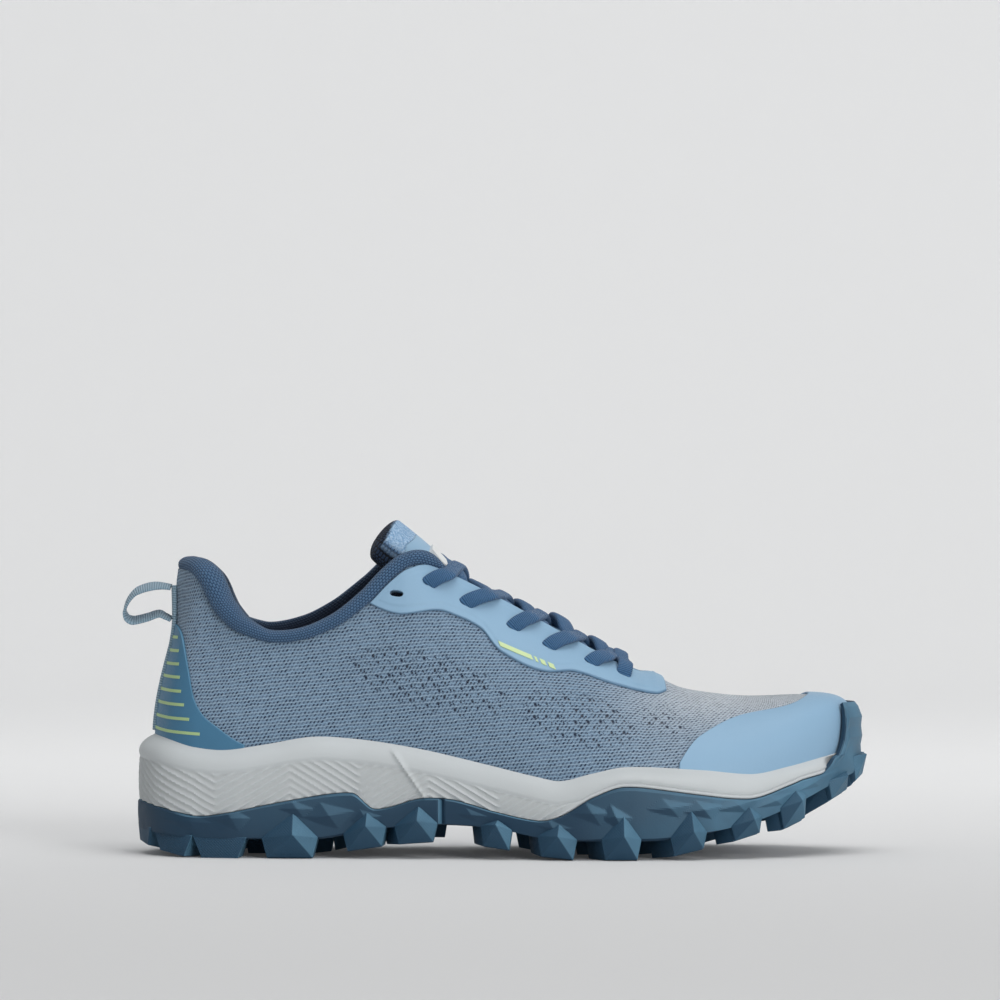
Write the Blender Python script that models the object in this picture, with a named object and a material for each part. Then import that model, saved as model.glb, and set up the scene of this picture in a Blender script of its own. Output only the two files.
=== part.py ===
"""Hiking shoe for the right foot: knitted upper, film overlays, foam midsole, lugged rubber outsole.

X runs from heel to toe, Y towards the inner (medial) side of the foot and Z up from the floor.
Lengths are in millimetres. The tables are drawn on one sample size and graded to the driving sizes.
"""
import bmesh
import bpy
import numpy as np

# Driving sizes of the shoe
LENGTH = 276.0          # heel to toe over the sole
BALL_WIDTH = 92.3       # upper across the ball of the foot
INSTEP_HEIGHT = 110.3   # top of the eyestay above the floor
HEEL_HEIGHT = 108.0     # back of the upper above the floor

# The same sizes on the sample that the tables are drawn for
SAMPLE_LENGTH = 276.0
SAMPLE_BALL_WIDTH = 92.3
SAMPLE_INSTEP_HEIGHT = 110.3
SAMPLE_HEEL_HEIGHT = 108.0

# Thicknesses and clearances
GAP = 0.3               # between pieces that meet
FILM_GAP = 0.45         # between the upper and a film, for their facets
WALL = 2.0              # knitted upper with its lining
RUBBER = 2.5            # outsole floor and sides
FILM = 0.8              # toe cap and heel counter
EYESTAY_FILM = 1.0
INSOLE = 4.2
RIM_CLEAR = 0.4         # overlays above the midsole's rim

STATION_STEP = 10.5     # widest spacing of the stations along the foot outline
TOE_STEP = 5.5          # and at the toe, under the bumper
RIB_STEPS = 8           # facets of a rib from sole to top edge

# Sections of the upper, from the heel round to the toe. Each has its foot point on both sides,
# its top point on both sides, and the shape of the rib between them: bulge and wall lift shape
# the side above the sole, shoulder and drop shape the run into the top edge.
SECTION_COLUMNS = ("x", "lateral", "medial", "top_x", "top_lateral", "top_medial",
                   "bulge", "wall", "shoulder", "drop")
SECTIONS = {
    "heel_back": (8.5, 0.0, 0.0, 17.0, 0.0, 0.0, 5.5, 0.42, -3.5, 0.30),
    "heel_round": (13.8, -19.0, 18.5, 20.4, -13.5, 13.5, 5.0, 0.42, -2.0, 0.30),
    "heel_quarter": (24.0, -28.5, 28.0, 29.0, -21.5, 21.5, 3.5, 0.42, 0.0, 0.30),
    "heel_side": (42.0, -32.8, 32.0, 43.0, -26.0, 26.0, 2.0, 0.42, 1.5, 0.30),
    "collar_low": (60.0, -33.8, 32.0, 60.0, -27.5, 27.0, 1.5, 0.42, 3.0, 0.30),
    "collar_rise": (80.0, -34.5, 30.5, 80.0, -27.5, 27.0, 1.5, 0.42, 4.0, 0.28),
    "eyestay_top": (100.0, -36.5, 29.5, 100.0, -24.5, 25.5, 1.5, 0.42, 7.0, 0.25),
    "throat_top": (115.0, -38.5, 30.0, 115.0, -19.0, 21.5, 2.0, 0.42, 11.0, 0.20),
    "waist": (135.0, -42.5, 33.0, 135.0, -15.5, 19.0, 2.0, 0.42, 13.0, 0.20),
    "instep": (155.0, -46.5, 38.0, 155.0, -13.5, 17.5, 2.0, 0.45, 15.0, 0.20),
    "ball": (172.0, -48.5, 42.0, 172.0, -12.0, 16.5, 2.0, 0.45, 16.0, 0.18),
    "throat_low": (186.0, -48.3, 44.0, 186.0, -9.0, 14.5, 2.0, 0.46, 17.0, 0.15),
    "throat_end": (195.0, -47.5, 44.5, 195.0, 3.0, 3.0, 2.0, 0.48, 20.0, 0.05),
    "vamp": (212.0, -44.5, 44.0, 212.0, 3.5, 3.5, 2.0, 0.52, 24.0, 0.0),
    "toe_rear": (232.0, -36.5, 40.5, 229.0, 4.0, 4.0, 2.0, 0.65, 26.0, 0.0),
    "toe_side": (252.0, -24.0, 32.0, 238.0, 5.0, 5.0, 2.0, 0.85, 28.0, -0.02),
    "toe_round": (265.0, -9.0, 21.0, 242.0, 5.5, 5.5, 2.2, 0.98, 29.0, -0.04),
    "toe_tip": (270.5, 6.0, 6.0, 243.0, 6.0, 6.0, 2.4, 1.0, 29.0, -0.04),
}

# Sections of the sole: heights of the foot bed edge, of the midsole rim on the upper, of the
# rubber's upper edge, of the rubber base and of the lug bottoms, and the reach past the foot outline.
SOLE_COLUMNS = ("x", "feather", "rim", "edge", "base", "tread", "flare")
SOLE_SECTIONS = (
    (0.0, 30.0, 46.3, 20.5, 11.0, 5.5, 8.2),
    (12.0, 29.6, 45.2, 18.6, 8.8, 1.9, 7.4),
    (24.0, 29.1, 42.6, 16.8, 7.4, 0.0, 5.6),
    (36.0, 28.6, 41.2, 18.0, 7.0, 0.0, 5.2),
    (50.0, 28.4, 43.2, 20.6, 7.0, 0.0, 5.0),
    (68.0, 28.1, 46.0, 23.6, 7.0, 0.0, 4.8),
    (82.0, 28.0, 44.9, 25.0, 9.0, 2.8, 4.7),
    (91.0, 27.7, 43.5, 19.0, 10.6, 4.1, 4.6),
    (110.0, 26.7, 40.0, 22.6, 12.5, 6.2, 4.4),
    (120.0, 26.0, 37.8, 22.0, 12.5, 5.8, 4.2),
    (136.0, 24.2, 34.0, 17.6, 11.4, 4.2, 4.0),
    (152.0, 22.4, 30.2, 14.5, 8.2, 1.4, 4.2),
    (160.0, 21.5, 28.8, 16.3, 7.0, 0.0, 4.3),
    (172.0, 20.6, 31.5, 23.2, 7.0, 0.0, 4.5),
    (184.0, 20.1, 33.7, 27.1, 7.0, 0.0, 4.5),
    (192.0, 20.0, 33.6, 26.7, 7.0, 0.0, 4.5),
    (212.0, 21.7, 32.5, 24.0, 9.3, 3.7, 4.5),
    (230.0, 23.8, 31.0, 22.2, 13.3, 8.0, 4.5),
    (245.0, 26.8, 33.6, 26.5, 19.2, 14.2, 4.5),
    (258.0, 30.5, 36.7, 31.8, 24.0, 21.0, 4.4),
    (268.0, 34.0, 38.8, 36.0, 29.0, 27.5, 4.3),
    (276.0, 36.0, 39.5, 38.0, 33.0, 33.0, 4.2),
)

# Side of the midsole, from the rubber's edge up to the rim: reach from the sole's side, and height as
# a share of the way from the rubber to the ledge, then of the way from the ledge to the rim
MIDSOLE_COLUMNS = ("reach", "to_ledge", "to_rim")
MIDSOLE_SIDE = {
    "edge": (-0.3, 0.0, 0.0),
    "belly": (0.0, 0.4, 0.0),
    "under_ledge": (-0.8, 1.0, 0.0),
    "ledge": (-0.1, 1.0, 0.06),
    "shoulder": (-0.9, 1.0, 0.58),
}
SIDE_HEIGHT = 5.5       # least height of the foam between rubber and rim
LEDGE_DEPTH = 8.0       # ledge below the rim
LEDGE_RISE = 1.2        # ledge above the rubber, at least
RIM_LIP = 1.2           # foam's thickness at its rim

# Side of the outsole: reach of its edge and swell past the sole's side, height of the swell as a
# share of the way down, and the roundings of its corner and of its base
OUTSOLE_EDGE_REACH = 0.2
OUTSOLE_SWELL = 0.4
OUTSOLE_SWELL_AT = 0.3
OUTSOLE_CORNER = 0.8
OUTSOLE_BASE_INSET = 3.0

# Top edge of the upper along the collar, the throat and the ridge of the vamp: x and height
TOP_LINE = (
    (15.0, 108.0), (20.0, 107.2), (25.0, 103.5), (32.0, 92.0), (40.0, 85.0), (53.0, 81.0),
    (63.0, 82.0), (75.0, 86.5), (88.0, 96.0), (97.0, 105.2), (103.0, 109.6), (108.0, 110.3),
    (115.0, 107.5), (140.0, 95.0), (160.0, 83.8), (190.0, 67.8), (195.0, 69.0), (206.0, 62.9),
    (225.0, 59.6), (244.0, 59.6),
)
INSTEP_START = 80.0     # from here the top edge is graded by the instep, before it by the heel
INSTEP_FULL = 103.0

# Borders of the film overlays on the upper: x and height
TOE_CAP_BORDER = ((203.0, 33.5), (212.0, 45.0), (227.0, 52.2), (247.5, 56.4), (255.0, 60.0))
TOE_CAP_START = 203.6
COUNTER_BORDER = ((12.9, 87.5), (18.5, 85.0), (20.4, 71.6), (23.2, 58.3), (29.0, 50.7), (43.5, 41.9))
COUNTER_END = 42.0
EYESTAY_BORDER = (
    (88.0, 95.2), (100.0, 91.0), (115.0, 92.2), (121.0, 90.2), (130.0, 85.6), (137.5, 77.0),
    (155.5, 69.2), (165.6, 69.2), (180.5, 64.3), (196.0, 60.6), (201.0, 61.8),
)
EYESTAY_START = 90.0
EYESTAY_END = 201.0
EYESTAY_UNDER_COLLAR = 0.96  # its top up the ribs beside the collar's ends
EYESTAY_STEP = (104.0, 113.0)  # x over which it steps up to the throat's edge
FILM_ROWS = {"toe_cap": 5, "heel_counter": 4, "eyestay": 4, "heel_tape": 7}

# Padded collar: outline of its roll above the upper's edge as (outward, up), and its lining as
# (depth below the edge, thickness). It thins towards its front ends.
COLLAR_ROLL = ((0.0, 0.0), (0.7, 1.6), (-0.2, 3.4), (-2.4, 4.3), (-5.0, 2.8))
COLLAR_LINING = ((8.0, 3.8), (24.0, 1.4))
COLLAR_THIN_FROM = 90.0
COLLAR_END = 107.0
COLLAR_THIN = 0.55

# Toe bumper: the rubber climbs the toe round this point of the outline
BUMPER_Y = 6.0
BUMPER_TOP = 53.0
BUMPER_HALF_WIDTH = 15.0
BUMPER_FADE = 5.0
BUMPER_INSIDE = 2.1     # off the upper, clear of the toe cap
BUMPER_OUTSIDE = 3.9
BUMPER_THIN = 1.4       # wall thinned beside it, so that it clears the toe cap
BUMPER_LEVELS = {"low": 0.35, "middle": 0.7, "top": 1.0}

# Lugs along both edges of the sole: start and end along the foot outline
EDGE_LUGS = (
    (3.0, 17.0), (21.0, 33.0), (36.0, 52.0), (59.0, 80.0), (89.5, 106.0), (109.0, 125.5),
    (144.5, 156.0), (166.0, 179.5), (190.0, 204.0), (216.0, 227.5), (239.0, 249.5),
    (258.0, 268.0), (277.0, 287.0), (293.0, 303.0),
)
# Lugs down the middle of the sole: x of each row, with one lug on either side of the centre line
MIDDLE_LUGS = (34.0, 58.0, 102.0, 150.0, 172.0, 194.0, 216.0, 236.0)
MIDDLE_LUG_Y = 11.0
MIDDLE_LUG_HALF = (7.0, 6.0)
LUG_DEPTH = 14.0        # in from the sole's side
LUG_TAPER = 0.14        # share of its length that a lug loses at each end of its foot
LUG_ROOT = 1.2          # up into the rubber base
LUG_PEAK = 9.0          # highest point on the wall, above the base
LUG_REACH = 1.4         # furthest point past the sole's side
LUG_REACH_AT = 0.6      # height of that point, as a share of the way from the foot to the base
LUG_FOOT_INSET = 0.8    # foot in from the sole's side
NOSE_ROOT = 1.75        # depth of a lug's nose into the side
NOSE_FOOT_RISE = 0.4    # nose above the lug's foot
NOSE_BELOW_EDGE = 3.0   # peak below the rubber's edge, at least
MIDDLE_FOOT = (0.75, 0.8)  # size of a middle lug's foot, as a share of its root

# Tongue, from under the vamp to its free top end: height of its middle, half width and edge
# drop of the free end, thickness, and the lean of the section
TONGUE_COLUMNS = ("x", "height", "half_width", "edge_drop", "thickness", "lean")
TONGUE_SECTIONS = (
    (204.0, 60.8, 8.0, 2.0, 1.6, 0.0),
    (195.0, 64.4, 9.0, 2.5, 1.8, 0.0),
    (190.0, 65.6, 10.0, 3.0, 2.0, 0.0),
    (186.0, 69.0, 12.0, 4.0, 2.4, 0.0),
    (172.0, 77.0, 16.0, 5.0, 3.0, 0.0),
    (155.0, 86.2, 18.0, 6.0, 3.4, 0.0),
    (139.5, 94.2, 19.0, 7.0, 4.0, 0.0),
    (130.0, 99.6, 20.0, 8.0, 4.5, 0.0),
    (118.6, 108.2, 19.0, 8.0, 5.5, 0.0),
    (111.0, 116.4, 14.5, 4.5, 8.0, 0.45),
    (104.0, 122.5, 17.0, 4.0, 10.5, 0.65),
    (97.5, 126.3, 19.0, 4.5, 12.0, 0.70),
)
TONGUE_TUCKED = 116.0   # ahead of this the tongue's edges lie under the eyestay
TONGUE_CLEAR = 1.1      # under the upper's wall
TONGUE_FACETS = 8
TONGUE_EDGE_AT = 0.92   # place of its edges up the ribs of the upper
TONGUE_SHOULDER = (0.72, 0.5)  # of the free end: share of the half width and of the edge drop
TONGUE_EDGE_THIN = 0.65  # share of its thickness that is lost at the edges

# Eyelet pairs from the top down: x and height on the outer side
EYELETS = ((111.2, 104.4), (124.8, 96.4), (143.2, 87.0), (156.4, 80.2), (171.5, 73.9), (183.5, 69.4))
LACE_WIDTH = 5.5
LACE_THICK = 1.7
LACE_OVER_EYESTAY = 4.1  # lace's middle line off the upper, over the eyestay
LACE_OVER_TONGUE = 2.6
LACE_SAMPLES = 15
EYESTAY_FROM = 0.4      # lowest place up the ribs that a lace lies over
LACE_UNDER = 3.0        # where a strand dips under the far eyestay, in from the throat's edge
LACE_BACK = 4.0         # and back from the eyelet there

# Pull loop of webbing at the heel: its line in the middle plane, from its upper to its lower seat
PULL_LOOP = (
    (10.6, 101.6), (4.6, 102.9), (0.8, 101.4), (-3.0, 97.2), (-5.3, 93.1), (-5.7, 90.0),
    (-4.2, 87.7), (-1.1, 86.8), (2.7, 88.1), (6.5, 90.0), (9.6, 90.2),
)
LOOP_TILT = 0.26        # turn of the webbing about its own line
WEBBING_WIDTH = 10.0
WEBBING_THICK = 1.2
TAPE_INSIDE = 1.4       # heel tape off the upper, over the counter
TAPE_FOOT = 48.0
TAPE_TOP = 104.0

# Colour, roughness of each piece's material
FINISHES = {
    "outsole": ((0.035, 0.095, 0.165), 0.55),
    "midsole": ((0.66, 0.68, 0.70), 0.60),
    "insole": ((0.03, 0.05, 0.10), 0.90),
    "upper": ((0.22, 0.33, 0.48), 0.85),
    "toe_cap": ((0.25, 0.43, 0.62), 0.45),
    "heel_counter": ((0.10, 0.22, 0.36), 0.45),
    "eyestay": ((0.25, 0.43, 0.62), 0.45),
    "collar": ((0.05, 0.09, 0.20), 0.90),
    "tongue": ((0.20, 0.36, 0.56), 0.85),
    "heel_tape": ((0.20, 0.36, 0.54), 0.80),
    "pull_loop": ((0.20, 0.36, 0.54), 0.80),
    "lace": ((0.05, 0.12, 0.25), 0.90),
}

UP = np.array((0.0, 0.0, 1.0))
SIDES = {"lateral": "medial", "medial": "lateral"}
GRADE = np.array((LENGTH / SAMPLE_LENGTH, BALL_WIDTH / SAMPLE_BALL_WIDTH, HEEL_HEIGHT / SAMPLE_HEEL_HEIGHT))
METRES = 0.001


def slopes_through(knots, values):
    """Slopes of a smooth curve through the values that does not overshoot (modified Akima)."""
    step = np.diff(values) / np.diff(knots)
    first = 2 * step[0] - step[1]
    last = 2 * step[-1] - step[-2]
    step = np.concatenate(([2 * first - step[0], first], step, [last, 2 * last - step[-1]]))
    change = np.abs(np.diff(step)) + np.abs(step[1:] + step[:-1]) / 2
    ahead = change[2:] + 1e-9
    behind = change[:-2] + 1e-9
    return (ahead * step[1:-2] + behind * step[2:-1]) / (ahead + behind)


def curve(knots, values):
    """A function that reads the smooth curve through the values, held level past its ends."""
    knots = np.asarray(knots, float)
    values = np.asarray(values, float)
    slopes = slopes_through(knots, values)

    def at(place):
        place = np.clip(place, knots[0], knots[-1])
        i = np.clip(np.searchsorted(knots, place, side="right") - 1, 0, len(knots) - 2)
        width = knots[i + 1] - knots[i]
        u = (place - knots[i]) / width
        start = (1 + 2 * u) * (1 - u) ** 2 * values[i] + u * (1 - u) ** 2 * width * slopes[i]
        end = u ** 2 * (3 - 2 * u) * values[i + 1] + u ** 2 * (u - 1) * width * slopes[i + 1]
        return start + end

    return at


def table_curves(columns, rows):
    """A curve along x for each column of a table of sections."""
    table = np.array(sorted(rows))
    return {name: curve(table[:, 0], table[:, k]) for k, name in enumerate(columns) if k > 0}


def smooth(value, start, end):
    """Ease from 0 at start to 1 at end."""
    u = np.clip((value - start) / (end - start), 0, 1)
    return u * u * (3 - 2 * u)


def mix(a, b, share):
    return a + (b - a) * share


def unit(vectors):
    return vectors / np.linalg.norm(vectors, axis=-1, keepdims=True)


SOLE = table_curves(SOLE_COLUMNS, SOLE_SECTIONS)
TONGUE = table_curves(TONGUE_COLUMNS, TONGUE_SECTIONS)
top_line = curve(*zip(*TOP_LINE))
ROWS = dict(zip(SECTION_COLUMNS, np.array(list(SECTIONS.values())).T))
KNOTS = np.concatenate(([0.0], np.cumsum(np.hypot(np.diff(ROWS["x"]), np.diff(ROWS["lateral"])))))
TOE = KNOTS[-1]
THROAT_END = KNOTS[list(SECTIONS).index("throat_end")]
GHOST_ROWS = 3          # rows borrowed from the other side, so that curves run on round heel and toe


def section_curves(side):
    """Curves of one side's section columns along the foot outline."""
    other = SIDES[side]
    knots = np.concatenate((-KNOTS[GHOST_ROWS:0:-1], KNOTS, 2 * TOE - KNOTS[-2:-2 - GHOST_ROWS:-1]))
    own_names = {"y": (side, other), "top_y": ("top_" + side, "top_" + other)}
    curves = {}
    for name in ("x", "y", "top_x", "top_y", "bulge", "wall", "shoulder", "drop"):
        own, ghost = (ROWS[column] for column in own_names.get(name, (name, name)))
        values = np.concatenate((ghost[GHOST_ROWS:0:-1], own, ghost[-2:-2 - GHOST_ROWS:-1]))
        curves[name] = curve(knots, values)
    return curves


SECTION = {side: section_curves(side) for side in SIDES}


def top_height(x):
    """Height of the upper's top edge, graded by heel and instep."""
    instep = (INSTEP_HEIGHT / SAMPLE_INSTEP_HEIGHT) * (SAMPLE_HEEL_HEIGHT / HEEL_HEIGHT)
    return top_line(x) * mix(1.0, instep, smooth(x, INSTEP_START, INSTEP_FULL))


def outward(side, s):
    """Level direction out of the shoe, square to the foot outline."""
    step = 0.2
    along_x = SECTION[side]["x"](s + step) - SECTION[side]["x"](s - step)
    along_y = SECTION[side]["y"](s + step) - SECTION[side]["y"](s - step)
    sign = 1.0 if side == "lateral" else -1.0
    return unit(np.stack((sign * along_y, -sign * along_x, 0.0 * along_x), axis=-1))


def rib(side, s, t):
    """Point of the upper's surface: s along the foot outline, t up the rib from sole to top edge."""
    s, t = np.broadcast_arrays(np.asarray(s, float), np.asarray(t, float))
    at = {name: read(s) for name, read in SECTION[side].items()}
    ridge = (at["top_y"] + SECTION[SIDES[side]]["top_y"](s)) / 2
    top_y = np.where(s >= THROAT_END, ridge, at["top_y"])
    out = outward(side, s)
    foot = np.stack((at["x"], at["y"], SOLE["feather"](at["x"])), axis=-1)
    top = np.stack((at["top_x"], top_y, top_height(at["top_x"])), axis=-1)
    rise = (top - foot)[..., 2:]
    low = foot + at["bulge"][..., None] * out + at["wall"][..., None] * rise * UP
    high = top + at["shoulder"][..., None] * out - at["drop"][..., None] * rise * UP
    t = t[..., None]
    return (1 - t) ** 3 * foot + 3 * t * (1 - t) ** 2 * low + 3 * t * t * (1 - t) * high + t ** 3 * top


def rib_normal(side, s, t):
    """Outward normal of the upper's surface."""
    along_step = 0.4
    up_step = 0.01
    t = np.clip(t, up_step, 1 - 2 * up_step)
    along = rib(side, s + along_step, t) - rib(side, s - along_step, t)
    upward = rib(side, s, t + up_step) - rib(side, s, t - up_step)
    sign = 1.0 if side == "lateral" else -1.0
    return unit(sign * np.cross(along, upward))


def skin(side, s, t, offset):
    """Point at a distance outside the upper's surface (inside it where the offset is negative)."""
    s, t, offset = np.broadcast_arrays(np.asarray(s, float), np.asarray(t, float), offset)
    normal = rib_normal(side, s, t)
    on_ridge = ((t > 1 - 1e-6) & (s > THROAT_END - 1e-6))[..., None]
    shared = unit(normal + rib_normal(SIDES[side], s, t))
    normal = np.where(on_ridge, shared, normal)
    return rib(side, s, t) + offset[..., None] * normal


def crossing(side, s, above, low=0.0, high=1.0, offset=0.0):
    """Place up each rib where the test above(points) turns from negative to positive."""
    s = np.asarray(s, float)
    low = np.zeros_like(s) + low
    high = np.zeros_like(s) + high
    for _ in range(30):
        middle = (low + high) / 2
        points = skin(side, s, middle, offset) if offset else rib(side, s, middle)
        over = above(points) > 0
        high = np.where(over, middle, high)
        low = np.where(over, low, middle)
    return (low + high) / 2


def at_height(side, s, height):
    """Place up each rib at a height."""
    return crossing(side, s, lambda p: p[..., 2] - height)


def under_border(side, s, border, low):
    """Place up each rib where it crosses a border line, from below."""
    return crossing(side, s, lambda p: p[..., 2] - border(p[..., 0]), low=low)


def station_at(x):
    """Place along the foot outline where its x has this value."""
    places = np.linspace(0, TOE, 2000)
    return np.interp(x, SECTION["lateral"]["x"](places), places)


def stations():
    """Places of the ribs: every section and the ends of the overlays, with even steps between them."""
    ends = [KNOTS] + [station_at(x) for x in (COLLAR_END, TOE_CAP_START, EYESTAY_START, EYESTAY_END)]
    knots = np.unique(np.hstack(ends))
    places = [0.0]
    for start, end in zip(knots[:-1], knots[1:]):
        count = int(np.ceil((end - start) / (TOE_STEP if end > TOE - 1.0 else STATION_STEP)))
        places.extend(start + (end - start) * (k + 1) / count for k in range(count))
    return np.array(places)


STATIONS = stations()


def stations_between(start, end):
    """The stations from one x to another."""
    return STATIONS[(STATIONS > station_at(start) - 0.01) & (STATIONS < station_at(end) + 0.01)]


def weld(points, faces):
    """Merge points that coincide, drop faces that vanish and walls that two shells share."""
    keys = {}
    index = [keys.setdefault(tuple(np.round(p, 3) + 0.0), len(keys)) for p in points]
    kept = {}
    for face in faces:
        corners = []
        for corner in (index[i] for i in face):
            if corner not in corners:
                corners.append(corner)
        if len(corners) > 2:
            name = frozenset(corners)
            if name in kept:
                del kept[name]
            else:
                kept[name] = corners
    return np.array(list(keys)), list(kept.values())


def grid_faces(rows, columns, start=0, around=False):
    """Quads of a grid of points numbered row by row."""
    last = columns if around else columns - 1
    faces = []
    for r in range(rows - 1):
        for c in range(last):
            a = start + r * columns + c
            b = start + r * columns + (c + 1) % columns
            faces.append((a, b, b + columns, a + columns))
    return faces


def plate(inner, outer):
    """Closed plate between two grids of points."""
    rows, columns = inner.shape[:2]
    points = np.concatenate((inner.reshape(-1, 3), outer.reshape(-1, 3)))
    half = rows * columns
    faces = grid_faces(rows, columns) + grid_faces(rows, columns, half)
    bottom = list(range(columns))
    top = [half - columns + c for c in range(columns)]
    left = [r * columns for r in range(rows)]
    right = [r * columns + columns - 1 for r in range(rows)]
    for edge in (bottom, top, left, right):
        faces += [(a, b, b + half, a + half) for a, b in zip(edge[:-1], edge[1:])]
    return points, faces


def together(bodies):
    """Points and faces of several bodies as one list."""
    starts = np.cumsum([0] + [len(points) for points, _ in bodies])
    faces = [tuple(start + i for i in face) for start, body in zip(starts, bodies) for face in body[1]]
    return np.concatenate([points for points, _ in bodies]), faces


def tube(columns):
    """Closed bar through equal outlines, one for each station along it."""
    count, corners = columns.shape[:2]
    faces = grid_faces(count, corners, around=True)
    faces.append(tuple(range(corners)))
    faces.append(tuple(range((count - 1) * corners, count * corners)))
    return weld(columns.reshape(-1, 3), faces)


def round_the_shoe(line):
    """Closed ring of points: line(side, s) along the outer side to the toe and back along the inner."""
    return np.concatenate((line("lateral", STATIONS), line("medial", STATIONS)[-2:0:-1]))


def stack_rings(rings):
    """Closed solid through rings round the shoe, its two ends closed straight across the shoe."""
    count = len(rings[0])
    faces = grid_faces(len(rings), count, around=True)
    for start in (0, (len(rings) - 1) * count):
        for i in range(count // 2):
            corners = (i, i + 1, (count - i - 1) % count, (count - i) % count)
            faces.append(tuple(start + corner for corner in corners))
    return weld(np.concatenate(rings), faces)


def make_mesh(name, points, faces):
    """Mesh in metres with its faces turned outward."""
    mesh = bpy.data.meshes.new(name)
    mesh.from_pydata((points * GRADE * METRES).tolist(), [], faces)
    bm = bmesh.new()
    bm.from_mesh(mesh)
    bmesh.ops.recalc_face_normals(bm, faces=bm.faces)
    bm.to_mesh(mesh)
    bm.free()
    return mesh


def add_piece(name, points, faces, finish=None):
    """Object for one piece of the shoe, with its own material."""
    piece = bpy.data.objects.new(name, make_mesh(name, points, faces))
    bpy.context.collection.objects.link(piece)
    colour, roughness = FINISHES[finish or name]
    material = bpy.data.materials.new(name)
    material.use_nodes = True
    shader = material.node_tree.nodes["Principled BSDF"]
    shader.inputs["Base Color"].default_value = (*colour, 1.0)
    shader.inputs["Roughness"].default_value = roughness
    shader.inputs["Metallic"].default_value = 0.0
    piece.data.materials.append(material)
    return piece


def join(piece, bodies):
    """Fuse closed bodies that stand clear of each other to a piece."""
    helper = bpy.data.objects.new("helper", make_mesh("helper", *together(bodies)))
    bpy.context.collection.objects.link(helper)
    union = piece.modifiers.new("union", "BOOLEAN")
    union.operation = "UNION"
    union.solver = "EXACT"
    union.object = helper
    graph = bpy.context.evaluated_depsgraph_get()
    fused = bpy.data.meshes.new_from_object(piece.evaluated_get(graph))
    piece.modifiers.clear()
    piece.data = fused
    bpy.data.objects.remove(helper, do_unlink=True)


def hull(corners):
    """Points and faces of the convex body round the corners."""
    bm = bmesh.new()
    for corner in corners:
        bm.verts.new(corner)
    result = bmesh.ops.convex_hull(bm, input=bm.verts)
    loose = [v for v in result["geom_interior"] if isinstance(v, bmesh.types.BMVert)]
    bmesh.ops.delete(bm, geom=loose, context="VERTS")
    bm.verts.index_update()
    points = np.array([v.co[:] for v in bm.verts])
    faces = [tuple(v.index for v in face.verts) for face in bm.faces]
    bm.free()
    return points, faces


def sole_point(side, s, offset, height):
    """Point of the sole: a distance outside the foot outline, at a height."""
    foot = np.stack((SECTION[side]["x"](s), SECTION[side]["y"](s), 0.0 * s), axis=-1)
    point = foot + np.asarray(offset + 0.0 * s)[..., None] * outward(side, s)
    point[..., 2] = height(point[..., 0]) if callable(height) else height
    return point


def sole_sizes(side, s):
    """Sizes of the sole at stations, with the edge height read where the sole's side stands."""
    x = SECTION[side]["x"](s)
    flare = SOLE["flare"](x)
    outer_x = x + outward(side, s)[..., 0] * flare
    rim = SOLE["rim"](x)
    return flare, rim, np.minimum(SOLE["edge"](outer_x), rim - SIDE_HEIGHT)


def bumper_share(side, s, widen):
    """How far the toe bumper covers a station: 1 at the toe, 0 along the sides."""
    reach = np.abs(SECTION[side]["y"](s) - BUMPER_Y) + np.where(s < THROAT_END, TOE, 0.0)
    return 1 - smooth(reach, BUMPER_HALF_WIDTH + widen - BUMPER_FADE, BUMPER_HALF_WIDTH + widen)


def build_upper():
    """Knitted upper: one wall, open at the collar, the throat and underneath."""
    places = np.linspace(0, 1, RIB_STEPS + 1)
    outer = [round_the_shoe(lambda side, s, t=t: skin(side, s, t, 0.0)) for t in places]
    inner = [round_the_shoe(lambda side, s, t=t: skin(side, s, t, -WALL)) for t in places]
    rings = outer + inner[::-1] + outer[:1]
    count = len(outer[0])
    add_piece("upper", *weld(np.concatenate(rings), grid_faces(len(rings), count, around=True)))


def build_midsole():
    """Foam midsole: a cup for the upper, with a ledge and a bevelled band along its side."""

    def line(kind):
        def points(side, s):
            flare, rim, edge = sole_sizes(side, s)
            inside = flare - RUBBER - GAP
            side_reach = mix(flare, inside, bumper_share(side, s, BUMPER_FADE))
            edge = edge + GAP
            ledge = np.maximum(rim - LEDGE_DEPTH, edge + LEDGE_RISE)
            if kind == "bottom":
                return sole_point(side, s, inside, lambda x: SOLE["base"](x) + RUBBER + GAP)
            if kind == "edge_in":
                return sole_point(side, s, inside, edge)
            if kind in MIDSOLE_SIDE:
                row = dict(zip(MIDSOLE_COLUMNS, MIDSOLE_SIDE[kind]))
                height = mix(mix(edge, ledge, row["to_ledge"]), rim, row["to_rim"])
                return sole_point(side, s, side_reach + row["reach"], height)
            if kind == "rim_out":
                return skin(side, s, at_height(side, s, rim), RIM_LIP)
            if kind == "rim_in":
                return skin(side, s, at_height(side, s, rim), GAP)
            if kind == "cup":
                return skin(side, s, at_height(side, s, rim) / 2, GAP)
            return skin(side, s, 0.0, GAP) - GAP * UP
        return points

    kinds = ("bottom", "edge_in", *MIDSOLE_SIDE, "rim_out", "rim_in", "cup", "bed")
    add_piece("midsole", *stack_rings([round_the_shoe(line(kind)) for kind in kinds]))


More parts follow.
